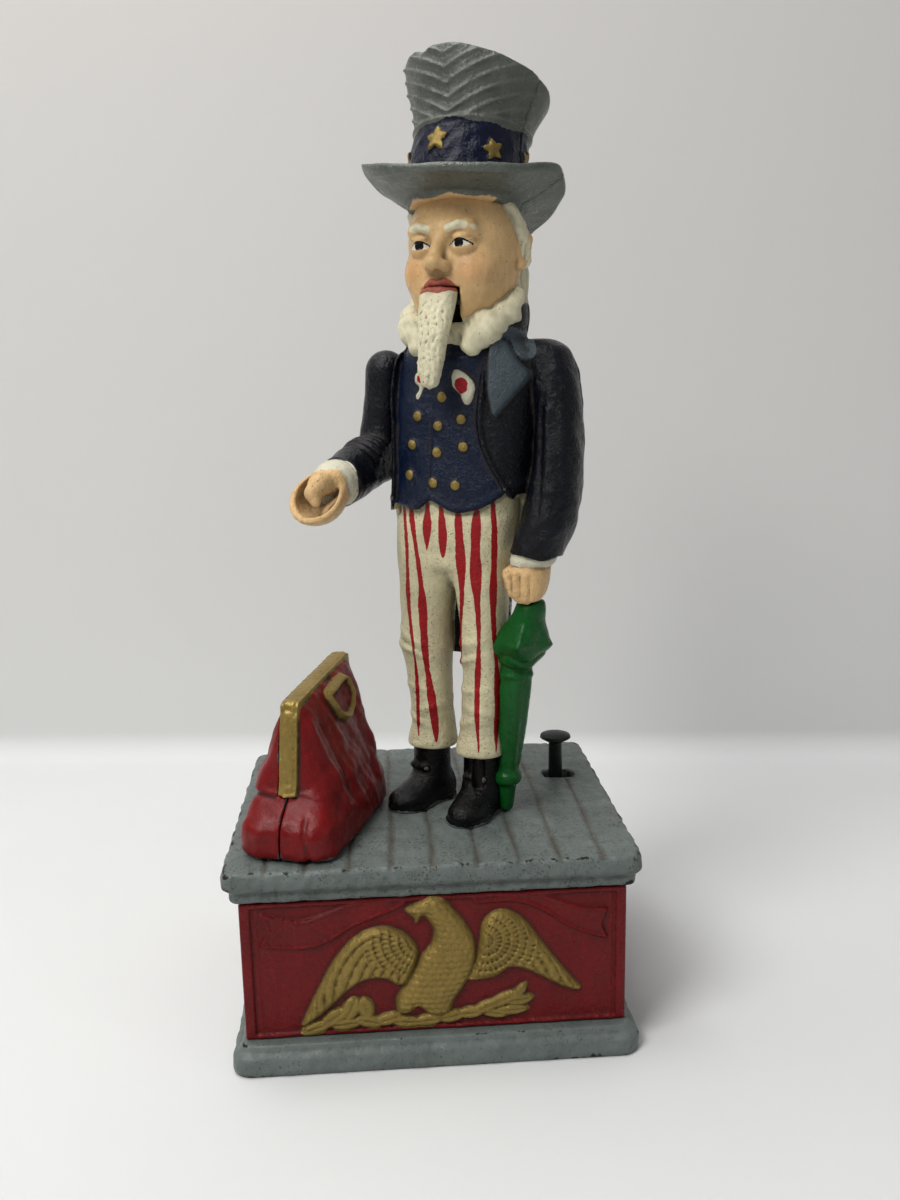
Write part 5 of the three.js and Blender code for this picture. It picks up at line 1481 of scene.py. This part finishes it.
def bag_zones(body):
    """Paint zones of the bag's fixed half, or of its outer half."""
    inner = bag_shape(1.2)
    zones = {
        "inside": lambda u, v, z: np.minimum(-inner(u, v, z), 44 - z),
        "chip": lambda u, v, z: 1.0 - z + .5 * np.sin(v / 3.1 + u / 2),
    }
    if body:
        strap = strap_volume()
        zones["strap"] = lambda u, v, z: .25 - strap(u, v, z)

        def rim(u, v, z):
            d = inside(handle, v, z)
            return np.where(u > 1.5, 1.3 - np.abs(d - 1.2), AWAY)
        zones["rim"] = rim
    return zones


# ---------------------------------------------------------------- the box

PANEL_LOW, PANEL_HIGH = 8.8, 51.7
PANEL_WIDE, PANEL_NARROW = 113, 89.4
PANEL_OUT = 48  # how far in front of the middle the front panel stands
PANEL_ZERO = 8.5  # world height that counts as 0 in the relief's outlines
wing_left = outline([(-5.2, 25), (-6.9, 29.2), (-9.9, 32.2),
                     (-15, 34), (-20.3, 33), (-25.4, 29.5), (-30.6, 22.8),
                     (-35, 14.6), (-38.4, 7.6), (-40, 3.6), (-37.6, 4.4),
                     (-34, 7.0), (-29.7, 10.8), (-25.4, 14.7),
                     (-20.3, 17.4), (-15, 17.2), (-11.2, 15), (-8, 17)], 5)
wing_right = outline([(11.8, 22), (13, 28.2), (13.8, 33.4), (16.8, 36.8),
                      (21.1, 37.3), (26.3, 33.8), (31.5, 26.4),
                      (36.6, 19.3), (40.6, 14.2), (43.2, 10.8),
                      (40.4, 10.6), (36, 12.6), (31, 15.6), (27.2, 17.6),
                      (22, 18.9), (17.7, 16.2), (12.5, 15.4), (9, 16)], 5)
bird_body = outline([(-3.4, 42.0), (-.6, 42.9), (2.6, 41.8),
                     (5.6, 38), (9.1, 33.4), (11.6, 27.4), (11.2, 20.4),
                     (8.4, 14.2), (5.2, 9.4), (3.4, 5.2), (-1.4, 4.6),
                     (-5.4, 7.6), (-8.2, 5.8), (-11.6, 6.4), (-11.8, 11),
                     (-9.0, 15.6), (-6.6, 19.6), (-4.2, 24.2),
                     (-1.2, 28), (-.4, 32), (-1.6, 34.8), (-3.6, 36.8),
                     (-5.6, 34.4), (-6.2, 36.2), (-8.6, 38.8), (-6.2, 40.6)], 4)
LEAVES = [  # x, z, length, width, degrees
    (-35.5, 2.8, 8.5, 3.0, 18), (-30.5, 5.6, 8.0, 3.6, 34), (-25.5, 8.2, 7.0, 4.0, 62),
          (-21.0, 8.0, 6.5, 3.8, 100),
    (-27.0, 3.4, 8.5, 3.0, 4), (-20.0, 3.8, 8.0, 3.2, -12), (-14.5, 4.2, 7.5, 3.0, 14),
          (-9.0, 3.0, 8.5, 2.8, -4),
    (-2.5, 3.2, 8.0, 3.0, 6), (4.5, 4.0, 7.5, 3.0, 12), (10.0, 4.8, 7.5, 2.9, 4), (15.0, 6.6, 8.0, 2.8, 22),
    (20.0, 8.6, 9.0, 2.9, 24), (24.5, 8.2, 8.0, 2.8, 6), (22.0, 5.0, 9.5, 2.6, 2), (24.5, 10.6, 6.0, 2.2, 50),
    (17.5, 4.2, 7.5, 2.4, -8),
]
ribbon_left = outline([(-51, 40), (-44, 38.2), (-38.4, 37.4),
                       (-31, 39.6), (-23.7, 42.2), (-15, 43.2), (-8, 43.2),
                       (-9.5, 39.9), (-16, 37.4), (-23.7, 34.2),
                       (-31, 30), (-38.4, 27.9), (-46, 28.4), (-51, 29.6),
                       (-49, 34.6)], 4)
ribbon_right = outline([(12, 43.2), (22, 43.2), (30, 42.8), (39, 39),
                        (45, 37.2), (51, 36.6), (49.4, 31.6), (51, 26.8),
                        (45, 28.2), (39, 31.0), (30.6, 37.0), (22.8, 39.8), (12, 39.6)], 4)


def feathers(x, z, side):
    """Height of rows of short feathers at the shoulder, and long ones out to the tip."""
    ox, oz = (-3.5, 30.5) if side < 0 else (14.5, 28.5)
    dx, dz = (x - ox) * side, z - oz
    r = np.hypot(dx, dz)
    a = np.arctan2(dz, dx)
    long_ones = np.abs(np.sin((a + .0022 * r * r * .35) * 17.5 + .4 * np.sin(r / 3)))
    row = np.floor(r / 2.5)
    across = a * (row + 1.5) * 1.35 + .5 * (row % 2)
    scale = np.sqrt(np.clip(1 - ((across % 1) - .5) ** 2 * 3.4, 0, 1)) * .9 - ((r / 2.5) % 1) * .75
    outer = step01(14, 17, r + 2.2 * np.sin(a * 5))
    barbs = .12 * np.sin(2.4 * r + 5 * a)
    return (1 - outer) * 1.05 * scale + outer * (1.15 * long_ones ** .5 - .55 + barbs)


def bird(x, z):
    """Height above the panel's field, and how far inside the gilded relief each point is."""
    left, right, body = inside(wing_left, x, z), inside(wing_right, x, z), inside(bird_body, x, z)
    h = np.maximum(dome(left, 2.2, 1.45) + feathers(x, z, -1) * step01(.4, 1.4, left),
                   dome(right, 2.2, 1.45) + feathers(x, z, 1) * step01(.4, 1.4, right))
    row = np.floor(z / 1.9)
    lobe = (x / 2.3 + .5 * (row % 2) + .12 * np.sin(z)) % 1 - .5
    plume = .42 * np.sqrt(np.clip(1 - 3.2 * lobe ** 2, 0,
                                  1)) * (1 - ((z / 1.9) % 1) * .2) - .4 * np.abs((z / 1.9) % 1 - .5)
    chest = dome(body, 5.5, 2.3) + 1.5 * plume * step01(.4, 1.4, body)
    eye = .5 * np.exp(-((x + 2.6) ** 2 + (z - 39.6) ** 2)
                      / .35) - .35 * np.exp(-((x + 6.1) ** 2 + (z - 37.9) ** 2) / .6)
    h = np.maximum(h, chest + eye * (body > 0))
    leaf_best = np.full(np.broadcast(x, z).shape, AWAY)
    for lx, lz, length, width, angle in LEAVES:
        length, width = length * 1.12, width * 1.35
        c, s = math.cos(math.radians(angle)), math.sin(math.radians(angle))
        u, w = (x - lx) * c + (z - lz) * s, -(x - lx) * s + (z - lz) * c
        d = (1 - np.hypot(u / (length / 2), w / (width / 2))) * width / 2
        vein = -.35 * np.exp(-(w / .3) ** 2) * (d > .3)
        h = np.maximum(h, dome(d, 1.1, 1.15) + vein)
        leaf_best = np.maximum(leaf_best, d)
    gilt = np.maximum(np.maximum(left, right), np.maximum(body, leaf_best))
    return h, gilt


def make_panel(width, front=False):
    """A box panel in its own frame, face to the front."""
    step = .38 if front else .6
    half = width / 2
    clay = Clay((-half - .5, -3.4, PANEL_LOW - .5), (half + .5, 3.8, PANEL_HIGH + .5), step)
    clay.add(block((-half, .9, PANEL_LOW), (half, 3, PANEL_HIGH), .25))

    def outward(x, y, z):
        """Height in front of the recessed field."""
        zz = z - PANEL_ZERO
        frame_in = np.minimum(np.minimum(half - 3.1 - np.abs(x), zz - 1.5), 41.6 - zz)
        h = .9 * step01(.35, -.35, frame_in)
        bead = .28 * np.exp(-((np.abs(x) - half + 4.6) / .55) ** 2) * step01(0, 3, frame_in + 3)
        h = h + bead
        if front:
            raised, gilt = bird(x, zz)
            trench = -.22 * step01(-1.8, -.2, gilt) * step01(.4, -.4, gilt)
            for ribbon in (ribbon_left, ribbon_right):
                d = inside(ribbon, x, zz)
                roll = .35 * np.exp(-((d - .8) / .5) ** 2)
                h = np.maximum(h, (.55 + 1.3 * roll + .25 * np.sin(x / 3.4 + zz / 6)) * step01(-.3, .5, d))
            h = np.maximum(h, raised) + trench
        return h + .07 * wobble(x, 0, z, 9, 2)
    x, y, z = clay.window((-1e9,) * 3, (1e9,) * 3)[1]
    rise = outward(x, y, z)
    face = (.9 - rise - y) * .75
    edge = np.maximum(np.maximum(np.abs(x) - half, PANEL_LOW - z), z - PANEL_HIGH)
    clay.d = smax(np.maximum(face, y - 3), edge, .4).astype(np.float32)
    return clay


def rounded_plan(x, y, width, depth, r):
    qx, qy = np.abs(x) - width / 2 + r, np.abs(y) - depth / 2 + r
    return np.hypot(np.maximum(qx, 0), np.maximum(qy, 0)) + np.minimum(np.maximum(qx, qy), 0) - r


platform_edge = line_of([[52, 3.4], [52.8, 2.4], [54.4, 2.0],
                         [55.6, 1.9], [56.4, 1.0], [57.2, .15], [58.4, -.1], [60.6, 0],
                         [61.6, .35], [62.5, 1.0]])
base_edge = line_of([[0, .35], [.8, 0], [4.2, .1], [5.4, .5], [6.2, 1.3], [6.9, 2.2], [7.8, 2.7], [8.5, 3.1]])


CASE_BOLTS = [(sx * 49, sy * 40.5) for sx in (-1, 1) for sy in (-1, 1)]
PLANK, PLANKS, PLANK_START = 12.2, 10, -61  # width, count, and the left edge of the first
PIVOT_X, PIVOT_Z = -16, 46.3  # the lever's pin


def plank_line(i, y):
    """Where the joint to the right of plank i runs."""
    return PLANK_START + PLANK * i + .35 * np.sin(i * 2.3) + .3 * np.sin(y / 9 + i)


def make_platform():
    """The planked platform, with the holes and ears that the mechanism needs."""
    clay = Clay((-62.4, -53, 33), (62.4, 53, 67), BOX_STEP)

    def slab(x, y, z):
        nick = .32 * wobble(x, y, z, 11, 1) + .22 * wobble(x, y, z, 4.3, 6)
        side = rounded_plan(x, y, 122.6, 103, 4.5) + platform_edge(z) + .25 + nick
        return smax(side, np.maximum(DECK_BOTTOM - z, z - DECK_TOP), .4)
    clay.add(Shape(slab, (-61.5, -52, DECK_BOTTOM), (61.5, 52, DECK_TOP)))
    clay.cut(block((-50.5, -42, 51), (50.5, 42, 57)))
    for x, y in CASE_BOLTS:
        clay.add(drum((x, y, 46), (x, y, 58.5), 4.2))

    def grooves(x, y, z):
        h = 0
        for i in range(1, PLANKS):
            line = plank_line(i, y) + .12 * np.sin(y / 2.7 + 2 * i)
            h = h - .42 * np.exp(-((x - line) / .45) ** 2) - .14 * np.exp(-((x - line) / 1.1) ** 2)
        h = h + .16 * wobble(x, y, z, 19, 2) + .12 * wobble(x * 2, y * .5, z, 7, 5)
        return h * step01(61, 62, z)
    clay.raise_by(grooves, (-63, -54, 61), (63, 54, 64))
    # ears for the lever under the deck
    for y in (-5, 8.5):
        clay.add(block((PIVOT_X - 4, y - 1.5, PIVOT_Z), (PIVOT_X + 4, y + 1.5, 58.5)))
        clay.add(drum((PIVOT_X, y - 1.5, PIVOT_Z), (PIVOT_X, y + 1.5, PIVOT_Z), 4))
    clay.cut(drum((PIVOT_X, -20, PIVOT_Z), (PIVOT_X, 20, PIVOT_Z), 1.85))
    for x, y in CASE_BOLTS:
        clay.cut(drum((x, y, 40), (x, y, 57.3), 2.1))
    clay.cut(block((42.3, 13.9, 40), (52.3, 21.1, 70), .5), .3)

    def in_bag(shape):
        return shape.at(BAG_AT, yaw=BAG_YAW)

    def in_figure(shape):
        return shape.at(FIGURE_AT, yaw=FIGURE_YAW)
    clay.cut(in_bag(block((-4.4, 14, -20), (5, 48, 2))), .2)
    clay.cut(in_bag(block((-5.1, 48.8, -20), (3.9, 55.2, 2))), .2)
    for v in (12.4, 52):
        clay.cut(in_bag(drum((8.6, v, -20), (8.6, v, 2), 1.8)))
    for v in (12.5, 46):
        clay.add(in_bag(union(block((-9.6, v - 1.5, -2), (-4.8, v + 1.5, 3)),
                              drum((-7.2, v - 1.5, 3), (-7.2, v + 1.5, 3), 2.4))))
        clay.cut(in_bag(drum((-7.2, v - 2, 3), (-7.2, v + 2, 3), 1.45)))
    clay.cut(in_figure(drum((-9.5, ROD_Y, -20), (-9.5, ROD_Y, 2), 2.3)))
    for x, y in ((-9.5, 6.4), (10, -7.4)):
        clay.cut(in_figure(drum((x, y, -20), (x, y, 2), 1.9)))
    return clay


def make_base():
    """The base tray."""
    clay = Clay((-61, -55.5, -1), (61, 55.5, 14), BOX_STEP)

    def plate(x, y, z):
        nick = .3 * wobble(x, y, z, 12, 4) + .16 * wobble(x, y, z, 5, 7)
        side = rounded_plan(x, y, 121.4, 108, 6) + base_edge(z) + .15 + nick * step01(0, 2, z)
        return smax(side, np.maximum(-z, z - 8.5), .5)
    clay.add(Shape(plate, (-60, -54.5, 0), (60, 54.5, 8.5)))
    clay.cut(block((-55, -49.5, -2), (55, 49.5, 5.3), 0), .3)
    clay.add(drum((46.3, 17.5, 7.5), (46.3, 17.5, 12.5), 2.6), .3)
    clay.cut(drum((0, 0, -2), (0, 0, 20), 17))
    for x in (-24.5, 24.5):
        clay.cut(drum((x, 0, -2), (x, 0, 20), 1.9))
    for x, y in CASE_BOLTS:
        clay.cut(drum((x, y, -2), (x, y, 20), 2.1))
    return clay


def groove_dirt(x, y, z):
    """Positive along the joints between the planks."""
    i = np.clip(np.round((x - PLANK_START) / PLANK), 1, PLANKS - 1)
    return np.where(z > 61.2, .75 + .35 * np.sin(y / 5 + i * 2) - np.abs(x - plank_line(i, y)), AWAY)


# ---------------------------------------------------------------- building

def halves(name, clay, place, zones, material):
    """Front and back castings, with a hairline seam between them."""
    seam = split_distance(place)
    for side, sign in (("front", -1), ("back", 1)):
        half = clay.copy()
        half.keep(lambda x, y, z: sign * seam(x, y, z) - SEAM)
        cast(name + "_" + side, half, place, zones, material, "case", "figure_" + side)


body_material = enamel("body_enamel", "coat", BODY_PAINT, wear=.8, grime=.8, grain=3, speckle=2)
head_material = enamel("head_enamel", "skin", HEAD_PAINT, speckle=1.3, wear=.35, grime=.55,
                       soft=[("blush", "blush", .3, 3.0)])
hat_material = enamel("hat_enamel", "hat",
                      [("band", "band", 1.2), ("star", "gold", 1.6), ("brow_line", "skin", .8)],
                      wear=-1.5, grime=.4, grain=2.2)
halves("body", make_body(), FIGURE, body_zones(), body_material)
halves("head", make_head(), HEAD, head_zones(), head_material)
halves("hat", make_hat(), HAT, {"band": band_zone, "star": hat_star_zone, "brow_line": forehead_line},
       hat_material)

jaw_zones = {
    "lips": lambda x, y, z: np.where(y < -16, z - 159.9 + .25 * np.sin(x), AWAY),
    "iron": lambda x, y, z: y + 13.5,
}
jaw_material = enamel("jaw_enamel", "cream", [("lips", "lip", .8), ("iron", "primer", .5)],
                      speckle=2, grime=1.3, grain=1.8)
cast("jaw_beard", make_jaw(), HEAD, jaw_zones, jaw_material, "jaw", "jaw")
arm_material = enamel("arm_enamel", "coat", [("skin", "skin", .5), ("white", "white", .5)],
                      speckle=1.8, grain=2.6)
cast("arm_casting", make_arm(), FIGURE, arm_zones(), arm_material, "arm", "right_arm")
cast("umbrella_casting", make_umbrella(), FIGURE, {},
     enamel("green_enamel", "green", wear=.1, grime=.6, grain=1.2), "case", "umbrella")


# ---------------------------------------------------------------- floor, light and camera

# how far behind the bank the backdrop stands, and its radius at the floor, in mm
WALL_AT, WALL_CURVE = 215, 14
WALL_SWING = math.radians(-6.5)


def make_stage():
    """A pale floor that rises in a soft curve behind the bank."""
    turn_in = [(WALL_AT - WALL_CURVE + WALL_CURVE * math.sin(a), WALL_CURVE - WALL_CURVE * math.cos(a))
               for a in np.linspace(0, math.pi / 2, 9)]
    section = [(-1200, 0), (0, 0)] + turn_in + [(WALL_AT, 400), (WALL_AT, 1500)]
    c, s = math.cos(WALL_SWING), math.sin(WALL_SWING)
    points = [((x * c - y * s) * MM, (x * s + y * c) * MM, z * MM) for y, z in section for x in (-1800, 1800)]
    faces = [(2 * i + 1, 2 * i + 3, 2 * i + 2, 2 * i) for i in range(len(section) - 1)]
    me = bpy.data.meshes.new("sweep")
    me.from_pydata(points, [], faces)
    me.polygons.foreach_set("use_smooth", np.ones(len(faces), bool))
    obj = bpy.data.objects.new("sweep", me)
    bpy.context.scene.collection.objects.link(obj)
    # painted shade: a mask of where the sweep rises into the wall, which is painted darker than the floor
    wall_shade = me.attributes.new("wall_shade", "FLOAT", "POINT")
    wall_shade.data.foreach_set("value", np.repeat([float(step01(0, 40, z)) for _, z in section], 2))
    net = Net("paper")
    cloud = net.noise(120, 3, seed=1)
    colour = net.blend(cloud, srgb(216, 217, 216), srgb(222, 223, 222))
    # painted shade: the rising wall is painted darker than the floor for the shade on it
    colour = net.blend(net.attribute("wall_shade"), colour, srgb(196, 193, 190))
    me.materials.append(net.finish(colour, .85, 0, net.bump(net.noise(.8, 2, seed=2), .05, .0002)))


def softbox(name, at, to, size, power, tint):
    """A rectangular soft light at a place in metres, aimed at another."""
    light = bpy.data.lights.new(name, "AREA")
    light.shape, light.size, light.size_y = "RECTANGLE", size[0], size[1]
    light.energy, light.color = power, tint
    obj = bpy.data.objects.new(name, light)
    obj.location = at
    obj.rotation_euler = (Vector(to) - Vector(at)).to_track_quat("-Z", "Y").to_euler()
    bpy.context.scene.collection.objects.link(obj)


def make_camera():
    """The camera that matches the photograph."""
    cam = bpy.data.cameras.new("camera")
    cam.lens, cam.sensor_width, cam.sensor_fit = 31.74, 36, "AUTO"
    cam.clip_start, cam.clip_end = .01, 20
    obj = bpy.data.objects.new("camera", cam)
    obj.location = (-.0127, -.3314, .1960)
    yaw, pitch, roll = (math.radians(v) for v in (3.80, 11.37, -1.10))
    forward = Vector((math.sin(yaw) * math.cos(pitch), math.cos(yaw) * math.cos(pitch), -math.sin(pitch)))
    spin = forward.to_track_quat("-Z", "Y").to_matrix() @ Matrix.Rotation(roll, 3, "Z")
    obj.rotation_euler = spin.to_euler()
    bpy.context.scene.collection.objects.link(obj)
    bpy.context.scene.camera = obj


bag_paint = [("inside", "iron", .3), ("chip", "primer", 2.6)]
gilt_paint = [("rim", "gold", .7), ("strap", "gold", .5)]
bag_body, bag_door = make_bag()
bag_halves = (("bag_fixed_half", bag_body, "case", "bag_body", bag_paint + gilt_paint),
              ("bag_outer_half", bag_door, "bag_door", "bag_door", bag_paint))
for name, clay, body, node, paint in bag_halves:
    cast(name, clay, BAG, bag_zones(body == "case"),
         enamel(name + "_enamel", "red", paint, speckle=1.3, wear=1.8, grime=1.2), body, node)

cast("front_relief", make_panel(PANEL_WIDE, True), Place((0, -PANEL_OUT, 0)),
     {"gilt": lambda x, y, z: np.minimum(bird(x, z - PANEL_ZERO)[1] + .15, 1.2 - y)},
     enamel("relief_enamel", "panel", [("gilt", "gold", .5)], wear=.3, grime=.7, speckle=1.6, grain=2.2),
     "case", "front_panel")
panel_paint = enamel("panel_enamel", "panel")
for node, width, at, yaw in (("back_panel", PANEL_WIDE, (0, PANEL_OUT, 0), 180),
                             ("left_panel", PANEL_NARROW, (-56.5, 0, 0), 90),
                             ("right_panel", PANEL_NARROW, (56.5, 0, 0), -90)):
    cast(node + "_casting", make_panel(width), Place(at, yaw=yaw), {}, panel_paint, "case", node)

cast("platform_casting", make_platform(), WORLD, {"dirt": groove_dirt},
     enamel("deck_enamel", "grey", soft=[("dirt", "mud", .6, 1.3)],
            under="iron", wear=1.7, speckle=3.4, grime=.5),
     "case", "platform")
cast("base_casting", make_base(), WORLD, {},
     enamel("base_enamel", "grey", under="iron", wear=1.5, speckle=2.2, grime=.5),
     "case", "base_plate")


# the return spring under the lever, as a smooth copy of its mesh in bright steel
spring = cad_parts["return_spring"]
coil = bpy.data.objects.new("return_coil", spring.data.copy())
bpy.context.scene.collection.objects.link(coil)
coil.matrix_world = spring.matrix_world.copy()
coil.data.polygons.foreach_set("use_smooth", np.ones(len(coil.data.polygons), bool))
coil.data.materials.clear()
steel = metal("bright_steel", srgb(150, 150, 146), .35, .5)
coil.data.materials.append(steel)
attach(coil, "case")
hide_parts("return_spring")
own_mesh(coil)


# pieces that keep their own shape: edges rounded, then bare or oiled metal
dark_iron = metal("oiled_iron", srgb(52, 56, 56), .42, .25, .75)
gun_metal = metal("lever_iron", srgb(44, 50, 48), .38, .12, .6)
DARK = {"coin_trap_cover": dark_iron, "arm_crank": dark_iron, "thumb_lever": gun_metal}
for node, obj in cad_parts.items():
    if obj.hide_render:
        continue
    weld = obj.modifiers.new("weld", "WELD")
    weld.merge_threshold = .01 * MM
    bevel = obj.modifiers.new("edges", "BEVEL")
    bevel.width = (.6 if node == "thumb_lever" else .2) * MM
    bevel.segments = 3
    bevel.limit_method = "ANGLE"
    bevel.angle_limit = math.radians(32)
    bevel.harden_normals = True
    obj.data.polygons.foreach_set("use_smooth", np.ones(len(obj.data.polygons), bool))
    obj.data.materials.clear()
    obj.data.materials.append(DARK.get(node, steel))

make_stage()
softbox("key", (-.5, -.5, .85), (0, 0, .12), (.4, .4), 6.5, (1, .99, .96))
softbox("top", (-.2, 0, 1.0), (0, .05, .1), (.5, .4), 4.5, (1, 1, 1))
softbox("fill", (.75, -.55, .45), (0, 0, .14), (.35, .7), .5, (1, .99, .98))
bpy.context.scene.view_settings.view_transform = "Standard"
world = bpy.data.worlds.new("room")
bpy.context.scene.world = world
world.use_nodes = True
world.node_tree.nodes["Background"].inputs[0].default_value = (.93, .95, 1, 1)
world.node_tree.nodes["Background"].inputs[1].default_value = .25
make_camera()
